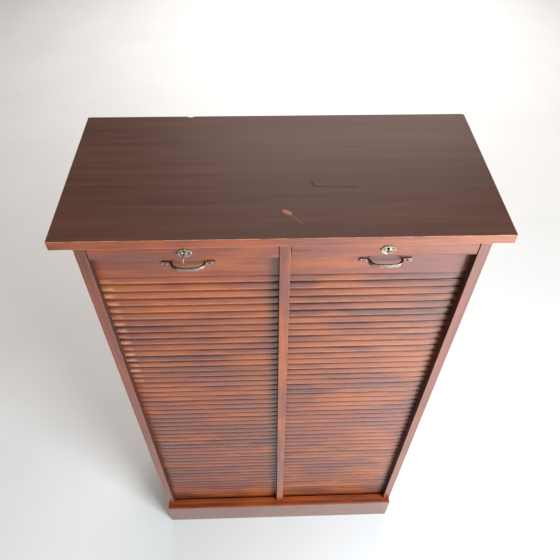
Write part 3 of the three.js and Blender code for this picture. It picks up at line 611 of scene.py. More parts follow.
class Form:
    """A mesh being made, with each part's wear and any painted highlight or shade."""

    def __init__(self, node: str | None = None) -> None:
        """Starts empty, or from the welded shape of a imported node.

        Args:
            node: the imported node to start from.
        """
        self.bm = bmesh.new()
        if node is not None:
            self.bm.from_mesh(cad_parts[node].data)
            bmesh.ops.remove_doubles(self.bm, verts=self.bm.verts, dist=WELD_WITHIN)
            bmesh.ops.dissolve_limit(self.bm, angle_limit=FLAT_BELOW, verts=self.bm.verts,
                                     edges=self.bm.edges)

    def ease(self, radius: float, segments: int = 3, worn_and_lit: float = 1.0,
             which: Callable[[bmesh.types.BMEdge], bool] | None = None) -> "Form":
        """Rounds the sharp edges, and marks how far the rounding is worn.

        Args:
            radius: how far each rounding reaches.
            segments: how many facets it has.
            worn_and_lit: the wear of the rounding.
            which: picks the edges; all sharp ones if left out.

        Returns:
            This form.
        """
        wear = self.bm.faces.layers.float.get("wear") or self.bm.faces.layers.float.new("wear")
        sharp = [e for e in self.bm.edges
                 if len(e.link_faces) == 2 and e.calc_face_angle() > SHARP_ABOVE
                 and (which is None or which(e))]
        made = bmesh.ops.bevel(self.bm, geom=sharp, offset=radius, offset_type="OFFSET", profile=0.5,
                               segments=segments, affect="EDGES", clamp_overlap=True)
        for face in made["faces"]:
            face[wear] = worn_and_lit
        return self

    def cut(self, point: Sequence[float], across: Sequence[float], near: list | None = None) -> None:
        """Cuts the whole form, or what is near, along a plane, and keeps both sides."""
        parts = near or self.bm.verts[:] + self.bm.edges[:] + self.bm.faces[:]
        bmesh.ops.bisect_plane(self.bm, geom=parts, plane_co=point, plane_no=across)

    def loft(self, sections: Sequence[Sequence[Vector]], ring: bool = False,
             worn_and_lit: Callable[[int, int], float] | None = None) -> "Form":
        """Skins a row of closed sections.

        Args:
            sections: outlines with the same number of points.
            ring: joins the last section to the first; otherwise both ends are closed.
            worn_and_lit: the wear, painted highlight or painted shade at a section's number and a point's
                number.

        Returns:
            This form.
        """
        wear = self.bm.verts.layers.float.get("wear") or self.bm.verts.layers.float.new("wear")
        rows = [[self.bm.verts.new(p) for p in section] for section in sections]
        for i, row in enumerate(rows):
            for j, vert in enumerate(row):
                vert[wear] = worn_and_lit(i, j) if worn_and_lit else 0.0
        pairs = list(zip(rows, rows[1:] + ([rows[0]] if ring else [])))
        for a, b in pairs:
            for j in range(len(a)):
                k = (j + 1) % len(a)
                self.bm.faces.new((a[j], a[k], b[k], b[j]))
        if not ring:
            self.bm.faces.new(rows[0])
            self.bm.faces.new(rows[-1][::-1])
        return self

    def turn(self, profile: Sequence[Span], x: float, z: float,
             worn_and_lit: Sequence[float] | None = None, segments: int = 36) -> "Form":
        """Turns a profile about a line along Y.

        Args:
            profile: radius and y of each ring, ends included.
            x: the line's x.
            z: the line's z.
            worn_and_lit: the wear of each ring.
            segments: how many sides it has.

        Returns:
            This form.
        """
        rings = [[Vector((x + r * math.cos(t), y, z + r * math.sin(t))) for t in angles_round(segments)]
                 for r, y in profile]
        return self.loft(rings, worn_and_lit=(lambda i, j: worn_and_lit[i]) if worn_and_lit else None)

    def piece(self, name: str, body: str, slot: Slot, finishes: Sequence[Finish],
              replaces: Sequence[str], grain: Grain = Grain.ACROSS_FRONT, tone: float | None = None,
              pick: Callable[[Vector, Vector], int] | None = None) -> bpy.types.Object:
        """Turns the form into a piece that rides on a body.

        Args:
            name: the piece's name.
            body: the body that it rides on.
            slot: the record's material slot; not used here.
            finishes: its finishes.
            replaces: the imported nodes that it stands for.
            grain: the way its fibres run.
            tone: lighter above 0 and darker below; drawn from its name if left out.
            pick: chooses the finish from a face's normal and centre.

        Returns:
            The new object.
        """
        bmesh.ops.recalc_face_normals(self.bm, faces=self.bm.faces)
        self.bm.normal_update()
        if pick:
            for face in self.bm.faces:
                face.material_index = pick(face.normal, face.calc_center_median())
        mesh = bpy.data.meshes.new(name)
        self.bm.to_mesh(mesh)
        self.bm.free()
        mesh.shade_smooth()
        mesh.set_sharp_from_angle(angle=SMOOTH_BELOW)
        for finish in finishes:
            mesh.materials.append(Palette.of(finish))
        self._lay_grain(mesh, name, grain, tone)
        obj = put(name, mesh)
        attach(obj, body)
        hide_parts(*replaces)
        obj.modifiers.new("true_flats", "WEIGHTED_NORMAL").keep_sharp = True
        log.info("built %s", name)
        return obj

    @staticmethod
    def _lay_grain(mesh: bpy.types.Mesh, name: str, grain: Grain, tone: float | None) -> None:
        """Keeps on the mesh where each point lies in its own board, and the board's tone."""
        chance = random.Random(name)
        places = np.zeros(len(mesh.vertices) * 3, np.float32)
        mesh.vertices.foreach_get("co", places)
        at = places.reshape(-1, 3)[:, list(grain.value)]
        at = at + np.array([chance.uniform(-GRAIN_SHIFT, GRAIN_SHIFT) for _ in range(3)], np.float32)
        mesh.attributes.new("grain_at", "FLOAT_VECTOR", "POINT").data.foreach_set(
            "vector", at.astype(np.float32).ravel())
        level = chance.uniform(-TONE_CHANCE, TONE_CHANCE) if tone is None else tone
        mesh.attributes.new("tone", "FLOAT", "POINT").data.foreach_set(
            "value", np.full(len(mesh.vertices), level, np.float32))


def put(name: str, data: bpy.types.ID) -> bpy.types.Object:
    """Puts a new object in the scene."""
    obj = bpy.data.objects.new(name, data)
    bpy.context.scene.collection.objects.link(obj)
    return obj


def angles_round(count: int, shift: float = 0.0) -> list[float]:
    """Even angles once round, started a share of a step on."""
    return [math.tau * (k + shift) / count for k in range(count)]


def key_height() -> float:
    """The height of the keys' axis and of the keyholes' round part."""
    return sum(corner.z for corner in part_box("left_escutcheon")) / 2 + KEY_ABOVE_PLATE_CENTRE


def domed(radius: float, front: float, height: float, steps: int) -> list[Span]:
    """The profile of a domed head, from its crown back to its full radius."""
    return [(max(CROWN, math.sin(a)) * radius, front + height * (1 - math.cos(a)))
            for a in (math.pi / 2 * k / steps for k in range(steps + 1))]


def curve(points: Sequence[Vector], steps: int) -> list[Vector]:
    """Runs a smooth curve through points.

    Args:
        points: the points that it passes through.
        steps: how many parts each stretch is cut into.

    Returns:
        The points along the curve.
    """
    last = len(points) - 1
    made = []
    for i in range(last):
        a, b, c, d = (points[max(0, min(last, i + k))] for k in (-1, 0, 1, 2))
        for k in range(steps):
            t = k / steps
            made.append(0.5 * (2 * b + (c - a) * t + (2 * a - 5 * b + 4 * c - d) * t * t
                               + (3 * b - a - 3 * c + d) * t * t * t))
    return made + [points[-1].copy()]


def dress_node(node: str, finish: Finish, slot: Slot, grain: Grain | None = None,
               easing: float = 0.8 * MM) -> None:
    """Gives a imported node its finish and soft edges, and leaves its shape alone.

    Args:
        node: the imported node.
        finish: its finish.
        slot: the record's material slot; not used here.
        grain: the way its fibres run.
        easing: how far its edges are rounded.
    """
    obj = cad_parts[node]
    obj.data.materials.clear()
    obj.data.materials.append(Palette.of(finish, grain))
    obj.modifiers.new("weld", "WELD").merge_threshold = WELD_WITHIN
    rounding = obj.modifiers.new("easing", "BEVEL")
    rounding.width = easing
    rounding.segments = 2
    rounding.limit_method = "ANGLE"
    rounding.angle_limit = NODE_SHARP_ABOVE
    log.info("dressed %s", node)


# ---------------------------------------------------------------- the cabinet


@dataclass
class Carcass:
    """The top, sides, divider, plinth and sills that show from the front, and the framed back."""

    arris: float = 1.3 * MM
    top_arris: float = 2.2 * MM
    corner: float = 6.0 * MM
    plinth_round: float = 5.0 * MM
    plinth_wear: float = 0.15
    plinth_end_wear: float = 0.4
    sill_arris: float = 0.91 * MM
    # A high tone paints the sills lighter: painted light for the ledge that the lamps don't reach.
    sill_painted_light: float = 1.1
    divider_tone: float = 0.1
    shelves: int = 4
    chip_place: float = 0.27
    chip_width: float = 16.0 * MM
    chip_depth: float = 1.5 * MM
    chip_cuts: tuple[float, ...] = (-0.5, -0.18, 0.2, 0.5)
    chip_core: float = 0.3
    chip_lean: float = 0.6
    broken_rim: float = 1.2
    flat_face: float = 0.8
    # How far up a plinth face must point to take the lighter finish, painted light for the shaded ledge.
    painted_light_ledge: float = 0.6
    side_face: float = 0.5

    def build(self) -> None:
        """Builds every part of the carcass."""
        self.top()
        self.sides()
        self.divider()
        self.plinth()
        self.sills()
        self.back()
        self.inside()

    def top(self) -> None:
        """The top board, with its worn back corner and a chip in its back edge."""
        lo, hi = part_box("top_board")
        form = Form("top_board")

        def back_corner(e: bmesh.types.BMEdge) -> bool:
            return all(v.co.x > hi.x - MM and v.co.y > hi.y - MM for v in e.verts)

        form.ease(self.corner, 4, which=back_corner).ease(self.top_arris)
        self._chip(form, lo.x + (hi.x - lo.x) * self.chip_place, hi)
        form.piece("top", "root", Slot.TOP, (TOP_FACE, TOP_EDGE), ("top_board",), tone=0.0,
                   pick=lambda normal, centre: int(abs(normal.z) <= self.flat_face))

    def _chip(self, form: Form, x: float, corner: Vector) -> None:
        """Breaks a shallow chip out of the top's back edge."""
        rim = corner.y - self.chip_width * 0.5
        form.cut((0, rim, 0), (0, 1, 0))
        for share in self.chip_cuts:
            edge = [f for f in form.bm.faces if f.calc_center_median().y > rim]
            near = [*edge, *(e for f in edge for e in f.edges), *(v for f in edge for v in f.verts)]
            form.cut((x + share * self.chip_width, 0, 0), (1, 0, 0), list(dict.fromkeys(near)))
        reach = self.top_arris * self.broken_rim
        for vert in form.bm.verts:
            at_rim = vert.co.y > corner.y - reach and vert.co.z > corner.z - reach
            if at_rim and abs(vert.co.x - x) < self.chip_width * self.chip_core:
                vert.co.y -= self.chip_depth * self.chip_lean
                vert.co.z -= self.chip_depth

    def sides(self) -> None:
        """The two side panels, with painted shade on their inner faces in front of the shutters."""
        for side in Side:
            inward = 1.0 if side is Side.LEFT else -1.0
            Form(side.node("side_panel")).ease(self.arris).piece(
                side.node("side"), "root", Slot.SIDE, (SIDE, RECESS_SHADE), (side.node("side_panel"),),
                Grain.UPRIGHT, 0.0,
                lambda normal, centre, inward=inward: int(normal.x * inward > self.side_face))

    def divider(self) -> None:
        """The upright between the bays."""
        # The divider's side faces take the painted shade of the recess.
        Form("centre_divider").ease(self.arris).piece(
            "divider", "root", Slot.FRONT, (FRONT, RECESS_SHADE), ("centre_divider",), Grain.UPRIGHT,
            self.divider_tone, lambda normal, centre: int(abs(normal.x) > self.side_face))

    def plinth(self) -> None:
        """The plinth board, with a well-rounded top edge and softened ends."""
        lo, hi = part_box("plinth_front")
        form = Form("plinth_front")

        def front_top(e: bmesh.types.BMEdge) -> bool:
            return all(v.co.z > hi.z - MM and v.co.y < lo.y + MM for v in e.verts)

        form.ease(self.plinth_round, 5, self.plinth_wear, front_top)
        form.ease(self.arris, worn_and_lit=self.plinth_end_wear)
        # The upward ledge takes the lighter front finish: painted light where the cabinet keeps the lamps
        # off it.
        form.piece("plinth", "root", Slot.FRONT, (PLINTH, FRONT), ("plinth_front",), tone=0.0,
                   pick=lambda normal, centre: int(normal.z > self.painted_light_ledge))

    def sills(self) -> None:
        """The strip at the foot of each bay."""
        for side in Side:
            Form(side.node("sill")).ease(self.sill_arris).piece(
                side.node("sill_strip"), "root", Slot.FRONT, (FRONT,), (side.node("sill"),),
                tone=self.sill_painted_light)

    def back(self) -> None:
        """The framed back."""
        for node in ("back_stile_left", "back_stile_right", "back_muntin", "back_panel_left",
                     "back_panel_right"):
            dress_node(node, BACK, Slot.BACK, Grain.UPRIGHT)
        for node in ("back_top_rail", "back_bottom_rail", "dust_board"):
            dress_node(node, BACK, Slot.BACK, Grain.ACROSS_FRONT)

    def inside(self) -> None:
        """The shelves, floors, inner backs and glue blocks."""
        for side in Side:
            for name in ("floor_board", *(f"shelf_{n + 1}" for n in range(self.shelves))):
                dress_node(side.node(name), INNER, Slot.INNER, Grain.ACROSS_FRONT)
            for name in ("inner_back", "glue_block"):
                dress_node(side.node(name), INNER, Slot.INNER, Grain.UPRIGHT)


@dataclass
class Screw:
    """A slotted screw with a domed head."""

    slot_width: float = 0.8 * MM
    slot_depth: float = 0.8 * MM
    shank: float = 1.4 * MM
    head_height: float = 1.6 * MM
    steps: int = 7
    rim: float = 0.12
    wear: tuple[float, ...] = (1.0, 0.9, 0.7, 0.4, 0.3, 0.4, 0.9, 1.0, 0.0, 0.0)

    def build(self, node: str, body: str, slot: Slot, finish: Finish, turned: float) -> None:
        """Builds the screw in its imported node's place.

        Args:
            node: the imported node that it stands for.
            body: the body that it rides on.
            slot: the record's material slot.
            finish: its finish.
            turned: how far its slot is turned, in radians.
        """
        lo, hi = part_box(node)
        x, z, radius = (lo.x + hi.x) / 2, (lo.z + hi.z) / 2, (hi.x - lo.x) / 2
        seat = lo.y + self.head_height
        profile = domed(radius, lo.y, self.head_height, self.steps)
        form = Form().turn([*profile, (self.shank, seat), (self.shank, hi.y)], x, z, self.wear)
        across = Vector((math.cos(turned), 0, math.sin(turned)))
        centre = Vector((x, 0, z))
        for sign in (-1, 1):
            form.cut(centre + across * sign * self.slot_width / 2, across)
        strip = [f for f in form.bm.faces
                 if abs((f.calc_center_median() - centre).dot(across)) < self.slot_width / 2
                 and f.calc_center_median().y < seat - self.head_height * self.rim]
        sunk = bmesh.ops.extrude_face_region(form.bm, geom=strip)
        bmesh.ops.delete(form.bm, geom=[f for f in strip if f.is_valid], context="FACES_ONLY")
        for item in sunk["geom"]:
            if isinstance(item, bmesh.types.BMVert):
                item.co.y = lo.y + self.slot_depth
        form.piece(f"{node}_head", body, slot, (finish,), (node,))


@dataclass
class BowPull:
    """A strap pull: two flat ears and a bow that stands clear of the rail."""

    ear_thickness: float = 3.0 * MM
    bow_thickness: float = 3.4 * MM
    leg_swell: float = 2.2 * MM
    bow_half: float = 31.0 * MM
    bow: Spans = ((0.0, 1.0), (0.48, 0.95), (0.76, 0.80), (0.93, 0.52),
                                            (1.0, 0.25), (1.06, 0.03))
    ear_from: float = 0.80
    ear_tip: float = 0.88
    least_tip: float = 0.02
    bend: float = 0.25
    waist: float = 0.62
    waist_at: float = 0.68
    waist_run: float = 0.05
    bow_slimmer: float = 0.12
    squareness: float = 0.55
    facing: float = 0.55
    bright: float = 0.6
    tarnish: float = 1.6
    steps: int = 6
    sides: int = 14
    screw_turns: Span = (0.5, 1.25)

    def build(self, side: Side) -> None:
        """Builds one bay's pull and its two screws."""
        lo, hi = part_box(side.node("pull"))
        middle, half = (lo + hi) / 2, (hi.x - lo.x) / 2
        ear = hi.y - self.ear_thickness / 2
        crest = lo.y + self.bow_thickness / 2
        rise = ear - crest
        right = [Vector((self.bow_half * x, ear - rise * share, 0)) for x, share in self.bow]
        right += [Vector((half * share, ear, 0)) for share in (self.ear_from, 1.0)]
        line = curve([Vector((-p.x, p.y, 0)) for p in right[:0:-1]] + right, self.steps)
        line = [Vector((p.x, min(p.y, ear), 0)) for p in line]
        height = (hi.z - lo.z) / 2
        section = self._rounded()
        sections, bowed = [], []
        for i, point in enumerate(line):
            along = (line[min(i + 1, len(line) - 1)] - line[max(i - 1, 0)]).normalized()
            out = Vector((along.y, -along.x, 0))
            depth = max(0.0, min(1.0, (ear - point.y) / rise))
            on_bow = max(0.0, min(1.0, (ear - point.y) / (rise * self.bend)))
            bowed.append(on_bow)
            thick = self.ear_thickness + (self.bow_thickness - self.ear_thickness) * on_bow
            thick += self.leg_swell * math.sin(math.pi * depth)
            tall = height * self._outline(abs(point.x) / half, on_bow)
            centre = Vector((middle.x + point.x, point.y, middle.z))
            sections.append([centre + out * thick / 2 * c + Vector((0, 0, tall * s)) for c, s in section])

        def worn_and_lit(i: int, j: int) -> float:
            return self.bright if section[j][0] > self.facing else self.bright - self.tarnish * bowed[i]

        form = Form().loft(sections, worn_and_lit=worn_and_lit)
        form.piece(side.node("bow_pull"), side.shutter, Slot.BRONZE, (BRONZE,), (side.node("pull"),))
        for number, turned in enumerate(self.screw_turns, 1):
            Screw().build(side.node(f"pull_screw_{number}"), side.shutter, Slot.BRASS, BRONZE, turned)

    def _outline(self, spread: float, on_bow: float) -> float:
        """The strap's height as a share: round at the ear's tip, narrow at the bend, full on the bow."""
        tip = max(0.0, (spread - self.ear_tip) / (1.0 - self.ear_tip))
        ear = max(self.least_tip, 1.0 - tip**4) ** 0.25
        waist = math.exp(-(((spread - self.waist_at) / self.waist_run) ** 2))
        bend = 1.0 - (1.0 - self.waist) * waist
        return min(ear, bend) * (1.0 - self.bow_slimmer * on_bow)

    def _rounded(self) -> list[Span]:
        """A flat section with rounded edges, from -1 to 1 each way."""
        corners = ((math.cos(t), math.sin(t)) for t in angles_round(self.sides, 0.5))
        return [tuple(math.copysign(abs(v) ** self.squareness, v) for v in corner) for corner in corners]


@dataclass
class Escutcheon:
    """A shaped keyhole plate with a low dome and a raised rim."""

    keyhole_radius: float = 3.0 * MM
    keyhole_slot: float = 1.3 * MM
    keyhole_length: float = 8.6 * MM
    floor: float = 0.1 * MM
    pin_head: float = 1.1 * MM
    pin_neck: float = 0.5
    pin_shank: float = 0.4
    floor_share: float = 0.9
    steps: int = 96
    section: Spans = (
        (0.0, 0.0), (0.0, 0.72), (0.05, 1.0), (0.25, 0.84), (0.55, 0.74), (0.8, 0.78), (0.9, 1.0),
        (0.96, 0.86), (1.0, 0.45), (1.0, 0.0))
    quarter: Spans = ((1.0, 0.0), (0.80, 0.20), (0.66, 0.58), (0.46, 0.74),
                                                (0.24, 0.80), (0.0, 1.0))
    crest: float = 0.85
    tarnish: float = -0.15
    pin_wear: tuple[float, ...] = (0.9, 0.7, 0.5, 0.3, 0.2, 0.2, 0.3, 0.0, 0.0)

    def build(self, side: Side) -> None:
        """Builds one bay's plate and its two pins."""
        lo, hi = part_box(side.node("escutcheon"))
        centre, width, height = (lo + hi) / 2, (hi.x - lo.x) / 2, (hi.z - lo.z) / 2
        hole = Vector((centre.x, 0, key_height()))
        outline = self._outline(centre, width, height)
        inner, outer = [], []
        for angle in angles_round(self.steps):
            ray = Vector((math.cos(angle), 0, math.sin(angle)))
            inner.append(hole + ray * self._keyhole(angle))
            outer.append(hole + ray * self._reach(hole, ray, outline))
        depth = hi.y - lo.y
        sections = [[a.lerp(b, share) + Vector((0, hi.y - depth * lift, 0)) for a, b in zip(inner, outer)]
                    for share, lift in self.section]
        form = Form().loft(sections, ring=True, worn_and_lit=lambda i, j: (
            1.0 if self.section[i][1] > self.crest else self.tarnish))
        # A thin floor closes the keyhole; it takes the near-black painted shade.
        form.loft([[p + Vector((0, hi.y - lift, 0)) for p in inner] for lift in (self.floor, 0.0)])

        # Faces on the keyhole's floor take the painted shade.
        def dark(normal: Vector, face: Vector) -> int:
            inside = (face - hole).xz.length < self.keyhole_radius * self.floor_share
            return int(inside and face.y > hi.y - self.floor * 2)

        form.piece(side.node("keyhole_plate"), side.shutter, Slot.BRASS, (BRASS, KEYHOLE_SHADE),
                   (side.node("escutcheon"),), pick=dark)
        for number in (1, 2):
            self._pin(side, number)

    def _pin(self, side: Side, number: int) -> None:
        """A small round-headed pin."""
        node = side.node(f"escutcheon_pin_{number}")
        lo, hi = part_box(node)
        radius = (hi.x - lo.x) / 2
        profile = [*domed(radius, lo.y, self.pin_head, 6),
                   (radius * self.pin_neck, lo.y + self.pin_head), (radius * self.pin_shank, hi.y)]
        form = Form().turn(profile, (lo.x + hi.x) / 2, (lo.z + hi.z) / 2, self.pin_wear, 20)
        form.piece(f"{node}_head", side.shutter, Slot.BRASS, (BRASS,), (node,))

    def _outline(self, centre: Vector, width: float, height: float) -> list[Vector]:
        """The plate's edge: pointed at both ends, crowned at the top and bottom."""
        shares = [*self.quarter, *((-x, z) for x, z in self.quarter[-2::-1]),
                  *((-x, -z) for x, z in self.quarter[1:]), *((x, -z) for x, z in self.quarter[-2:0:-1])]
        return [Vector((centre.x + x * width, 0, centre.z + z * height)) for x, z in shares]

    def _keyhole(self, angle: float) -> float:
        """The keyhole's reach from its round part's centre at an angle."""
        down = -math.sin(angle)
        if down > 0 and abs(math.cos(angle)) * self.keyhole_length <= self.keyhole_slot * down:
            return self.keyhole_length / down
        side = self.keyhole_slot / max(abs(math.cos(angle)), TINY)
        return max(self.keyhole_radius, side) if down > 0.5 else self.keyhole_radius

    @staticmethod
    def _reach(start: Vector, ray: Vector, outline: Sequence[Vector]) -> float:
        """How far a ray goes before it meets the outline."""
        best = 0.0
        for a, b in zip(outline, [*outline[1:], outline[0]]):
            edge, offset = b - a, a - start
            cross = ray.x * edge.z - ray.z * edge.x
            if abs(cross) < TINY**2:
                continue
            far = (offset.x * edge.z - offset.z * edge.x) / cross
            along = (offset.x * ray.z - offset.z * ray.x) / cross
            if far > 0 and -TINY <= along <= 1 + TINY:
                best = max(best, far)
        return best


@dataclass
class Key:
    """A small cabinet key with a ring bow, a collar and a bit."""

    wire: float = 1.25 * MM
    shank: float = 1.9 * MM
    bit_length: float = 2.6 * MM
    bit_half: float = 1.0 * MM
    bow_depth: float = 0.92
    steps: int = 48
    facets: int = 14
    turning: Spans = ((1.52, 0.0), (2.205, 1.2), (2.45, 2.2), (1.9, 3.0),
                                                (1.9, 4.0), (2.254, 4.8), (1.9, 5.6))
    turning_wear: tuple[float, ...] = (0.3, 0.9, 0.9, 0.2, 0.2, 0.9, 0.2, 0.2, 0.5)
    end_round: float = 0.4 * MM
    end_share: float = 0.7
    edge: float = 0.7
    edge_wear: float = 0.8
    face_wear: float = 0.2

    def build(self) -> None:
        """Builds the key that stands in the left lock."""
        lo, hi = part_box("left_key")
        axis_height = key_height()
        x = (lo.x + hi.x) / 2
        reach = hi.z - axis_height
        bow_y = reach * self.bow_depth
        centre = Vector((x, lo.y + bow_y, axis_height))
        tall, deep = reach - self.wire, bow_y - self.wire
        round_wire = angles_round(self.facets)
        ring = []
        for t in angles_round(self.steps):
            out = Vector((0, math.cos(t), math.sin(t)))
            middle = centre + Vector((0, math.cos(t) * deep, math.sin(t) * tall))
            ring.append([middle + (out * math.cos(a) + Vector((1, 0, 0)) * math.sin(a)) * self.wire
                         for a in round_wire])
        form = Form().loft(ring, ring=True, worn_and_lit=lambda i, j: (
            self.edge_wear if abs(math.cos(round_wire[j])) > self.edge else self.face_wear))
        start = centre.y + deep
        profile = [(radius * MM, start + step * MM) for radius, step in self.turning]
        profile += [(self.shank, hi.y - self.end_round), (self.shank * self.end_share, hi.y)]
        form.turn(profile, x, axis_height, self.turning_wear, 28)
        self._bit(form, x, axis_height, lo.z, hi.y)
        form.piece("left_cabinet_key", "left_key", Slot.BRASS, (KEY_METAL,), ("left_key",))

    def _bit(self, form: Form, x: float, axis_height: float, bottom: float, end: float) -> None:
        """The bit that works the lock, with its lower edge rounded."""
        half = self.bit_half
        outline = [(-half, bottom + half), (0.0, bottom), (half, bottom + half), (half, axis_height),
                   (-half, axis_height)]
        form.loft([[Vector((x + dx, y, z)) for dx, z in outline] for y in (end - self.bit_length, end)])


@dataclass
class Shutter:
    """One bay's shutter: slats on canvas, the lock rail and its fittings, and the lock."""

    side: Side
    slats: int = 50
    stations: int = 17
    facets: int = 18
    gap: float = 1.0 * MM
    shoulder: float = 0.62
    wander: float = 0.14 * MM
    canvas: float = 1.0 * MM
    canvas_faces: Span = (0.9, 0.2)
    canvas_give: float = 0.08
    band_from: float = 30.0 * MM
    same_level: float = 0.2 * MM
    rail_tone: float = 0.15
    band_round: float = 5.0 * MM
    arris: float = 1.0 * MM
    # Painted light on the slats: a painted highlight under each crest, lower slats painted darker, painted
    # glints near the left bay's left ends, and painted shade towards each gap and on the back.
    highlight_at: float = 1.05
    low_painted_shade: float = 0.75
    end_glint_above: int = 33
    end_glint_length: float = 0.085
    gap_shade_from: float = 2.05
    highlight_width: float = 0.17
    rub: float = 0.30
    gap_shade: float = 0.28
    gap_shade_run: float = 0.9
    under_gap_shade_to: float = 0.45
    behind_wear: float = -0.8
    glint_at: float = 1.5
    glint_width: float = 0.5
    tone_spread: float = 0.50
    tone_limit: float = 1.2
    end_taper: float = 0.93
    fullness: float = 0.8
    waves: float = 9.0
    # Stations where the painted glints fade out, and how strong a glint can be.
    glint_stations: Span = (0.03, 0.09)
    end_glint: Span = (0.3, 0.9)
    pressed_to: float = 0.005
    chance: random.Random = field(init=False)
    curtain: str = field(init=False)

    def __post_init__(self) -> None:
        """Starts this bay's own draw of small differences, and finds the slats' place."""
        self.chance = random.Random(f"{self.side.value} slats")
        self.curtain = self.side.node("curtain")

    def build(self) -> None:
        """Builds the shutter from the slats out to the lock."""
        self.front_slats()
        self.backing()
        self.rail()
        BowPull().build(self.side)
        Escutcheon().build(self.side)
        self.lock()
        for name in ("curtain_turn", "curtain_tail"):
            dress_node(self.side.node(name), SLAT, Slot.SLAT, Grain.ACROSS_FRONT, SLAT_EASING)

    def front_slats(self) -> None:
        """The slats between the lock rail and the foot of the bay."""
        lo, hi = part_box(self.curtain)
        pitch = (hi.z - lo.z) / self.slats
        for number in range(self.slats):
            self._slat(number + 1, lo, hi, lo.z + pitch * (number + 0.5), pitch)

    def _slat(self, number: int, lo: Vector, hi: Vector, middle: float, pitch: float) -> None:
        """One rounded slat, a little uneven along its length."""
        half = (pitch - self.gap) / 2
        back = hi.y - self.canvas
        deep = back - lo.y - self.wander
        # Lower slats are painted darker: painted shade for the light falling off towards the floor.
        low = max(0.0, 1.0 - number / self.slats * 2.0)
        tone = self.chance.gauss(0.0, self.tone_spread) - self.low_painted_shade * low
        tone = max(-self.tone_limit, min(self.tone_limit, tone))
        phase, bow = self.chance.uniform(0, math.tau), self.chance.uniform(-1, 1)
        angles = [math.pi * k / self.facets for k in range(self.facets + 1)]
        shares = sorted({*self.glint_stations, *(k / (self.stations - 1) for k in range(self.stations))})
        sections = []
        for share in shares:
            x = lo.x + (hi.x - lo.x) * share
            end = self.end_taper if share in (0.0, 1.0) else 1.0
            drift = self.wander * 0.5 * (1 + math.sin(phase + share * self.waves)) * end
            lift = self.wander * bow * math.sin(math.pi * share)
            swell = [self.shoulder + (1 - self.shoulder) * math.sin(a) ** self.fullness for a in angles]
            height = middle + lift
            front = [Vector((x, back - end * (deep - drift) * out, height - half * end * math.cos(a)))
                     for a, out in zip(angles, swell)]
            sections.append([Vector((x, back, front[0].z)), *front, Vector((x, back, front[-1].z))])
        # Upper slats in the left bay get painted glints near their left ends.
        glinting_end = self.side is Side.LEFT and number > self.end_glint_above
        end_glint = self.chance.uniform(*self.end_glint) if glinting_end else 0.0
        form = Form().loft(sections, worn_and_lit=lambda i, j: self._painted_light(
            j - 1, angles, end_glint * (shares[i] < self.end_glint_length)))
        obj = form.piece(f"{self.side.value}_slat_{number:02d}", "root", Slot.SLAT, (SLAT,),
                         (self.curtain,), tone=tone)
        self._press(obj)

    def _painted_light(self, point: int, angles: Sequence[float], end_glint: float) -> float:
        """The values round a slat: a painted highlight under its crest, painted shade towards each gap and
        on its back, and painted glints near its left end.
        """
        # The back points get painted shade, which darkens the gaps between slats.
        if not 0 <= point < len(angles):
            return self.behind_wear
        angle = angles[point]
        # A painted highlight: a pale line just under the crest.
        line = math.exp(-(((angle - self.highlight_at) / self.highlight_width) ** 2))
        # Painted shade growing towards the gaps above and below the slat.
        gap_shade = max(0.0, (angle - self.gap_shade_from) / self.gap_shade_run, (self.under_gap_shade_to - angle) / 0.5)
        # The painted glint is strongest around the crest.
        end_glint *= math.exp(-(((angle - self.glint_at) / self.glint_width) ** 2))
        return self.rub * line + end_glint - self.gap_shade * min(1.0, gap_shade)

    def _press(self, obj: bpy.types.Object) -> None:
        """Gives the piece its own copy of its mesh."""
        lo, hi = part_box(self.curtain)
        self.side.slide
        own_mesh(obj)

    def backing(self) -> None:
        """The canvas that the slats are glued to."""
        lo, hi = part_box(self.curtain)
        rows = self.slats * 4
        near, far = (hi.y - self.canvas * share for share in self.canvas_faces)
        sections = []
        for row in range(rows + 1):
            z = lo.z + (hi.z - lo.z) * row / rows
            give = self.canvas * self.canvas_give * math.cos(math.tau * row / 4)
            sections.append([Vector((lo.x, near + give, z)), Vector((hi.x, near + give, z)),
                             Vector((hi.x, far + give, z)), Vector((lo.x, far + give, z))])
        obj = Form().loft(sections).piece(self.side.node("shutter_canvas"), "root", Slot.SLAT, (CANVAS,),
                                          (self.curtain,), tone=0.0)
        self._press(obj)

    def rail(self) -> None:
        """The lock rail, with its thick band's lower edge well rounded."""
        lo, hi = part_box(self.side.node("lock_rail"))
        form = Form(self.side.node("lock_rail"))

        def band_edge(e: bmesh.types.BMEdge) -> bool:
            first, second = (v.co for v in e.verts)
            level = all(abs(v.co.y - lo.y) < self.same_level for v in e.verts)
            low = all(v.co.z < hi.z - self.band_from for v in e.verts)
            return level and low and abs(first.z - second.z) < self.same_level

        form.ease(self.band_round, 6, 0.0, band_edge).ease(self.arris, 2, 0.1)
        form.piece(self.side.node("rail"), self.side.shutter, Slot.FRONT, (FRONT,),
                   (self.side.node("lock_rail"),), tone=self.rail_tone)

    def lock(self) -> None:
        """The lock's hidden case, its bolt, and the plate that the bolt enters."""
        dress_node(self.side.node("lock_case"), STEEL, Slot.STEEL, easing=METAL_EASING)
        for name in ("bolt", "strike_plate"):
            dress_node(self.side.node(name), BRASS, Slot.BRASS, easing=METAL_EASING)


@dataclass(frozen=True)
class Lamp:
    """A wide soft light that isn't seen itself."""

    name: str
    place: Triple
    aim: Triple
    size: float
    power: float
    spread: float = 150.0
    tint: Colour = (1.0, 1.0, 1.0)

    def light(self) -> None:
        """Hangs the lamp."""
        lamp = bpy.data.lights.new(self.name, "AREA")
        lamp.size = self.size
        lamp.energy = self.power
        lamp.color = self.tint
        lamp.spread = math.radians(self.spread)
        obj = put(self.name, lamp)
        obj.location = self.place
        obj.visible_camera = False
        obj.rotation_euler = (Vector(self.aim) - Vector(self.place)).to_track_quat("-Z", "Y").to_euler()


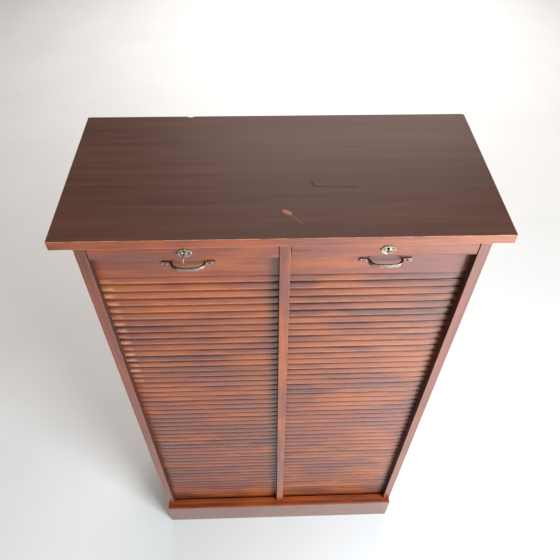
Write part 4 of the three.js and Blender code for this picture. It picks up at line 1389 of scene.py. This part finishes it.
WINDOW = Lamp("window", (1.7, -1.9, 1.3), (0.75, -1.15, 0.0), 1.2, 142.0, 180.0, (0.84, 0.935, 1.0))
FAR = Lamp("far", (0.8, 4.4, 2.6), (0.4, 2.2, 0.0), 3.0, 100.0, 150.0, (1.0, 0.94, 0.92))
CEILING = Lamp("ceiling", (0.3, 3.0, 5.5), (0.2, 2.2, 0.0), 2.5, 32.0, 120.0)


@dataclass
class Studio:
    """A pale floor, soft light that is stronger from the right, and the camera."""

    floor_size: float = 24.0
    lens: float = 36.13
    camera_place: Triple = (-0.03493, -0.88103, 2.03114)
    camera_turn: Triple = (41.629, -0.496, -1.802)
    surround: float = 0.32
    surround_tint: Colour = (1.0, 0.93, 0.87)

    def build(self) -> None:
        """Builds the surroundings, which are not part of the cabinet."""
        half = self.floor_size / 2
        mesh = bpy.data.meshes.new("floor")
        corners = ((-half, -half, 0), (half, -half, 0), (half, half, 0), (-half, half, 0))
        mesh.from_pydata(corners, [], [(0, 1, 2, 3)])
        mesh.materials.append(FLOOR.material())
        put("floor", mesh)
        self._world()
        for lamp in (WINDOW, FAR, CEILING):
            lamp.light()
        self._camera()
        bpy.context.scene.view_settings.view_transform = "Standard"
        log.info("built studio")

    def _world(self) -> None:
        """Even light from all round."""
        world = bpy.data.worlds.new("surround")
        world.use_nodes = True
        light = world.node_tree.nodes["Background"].inputs
        light["Color"].default_value = (*self.surround_tint, 1.0)
        light["Strength"].default_value = self.surround
        bpy.context.scene.world = world

    def _camera(self) -> None:
        """The camera, above the front and looking down."""
        lens = bpy.data.cameras.new("camera")
        lens.lens = self.lens
        obj = put("camera", lens)
        obj.location = self.camera_place
        obj.rotation_euler = [math.radians(a) for a in self.camera_turn]
        bpy.context.scene.camera = obj


def main() -> None:
    """Builds the cabinet and its surroundings, and reports each piece."""
    logging.basicConfig(level=logging.INFO, format="%(message)s")
    Studio().build()
    Carcass().build()
    for side in Side:
        Shutter(side).build()
    Key().build()


if __name__ == "__main__":
    main()
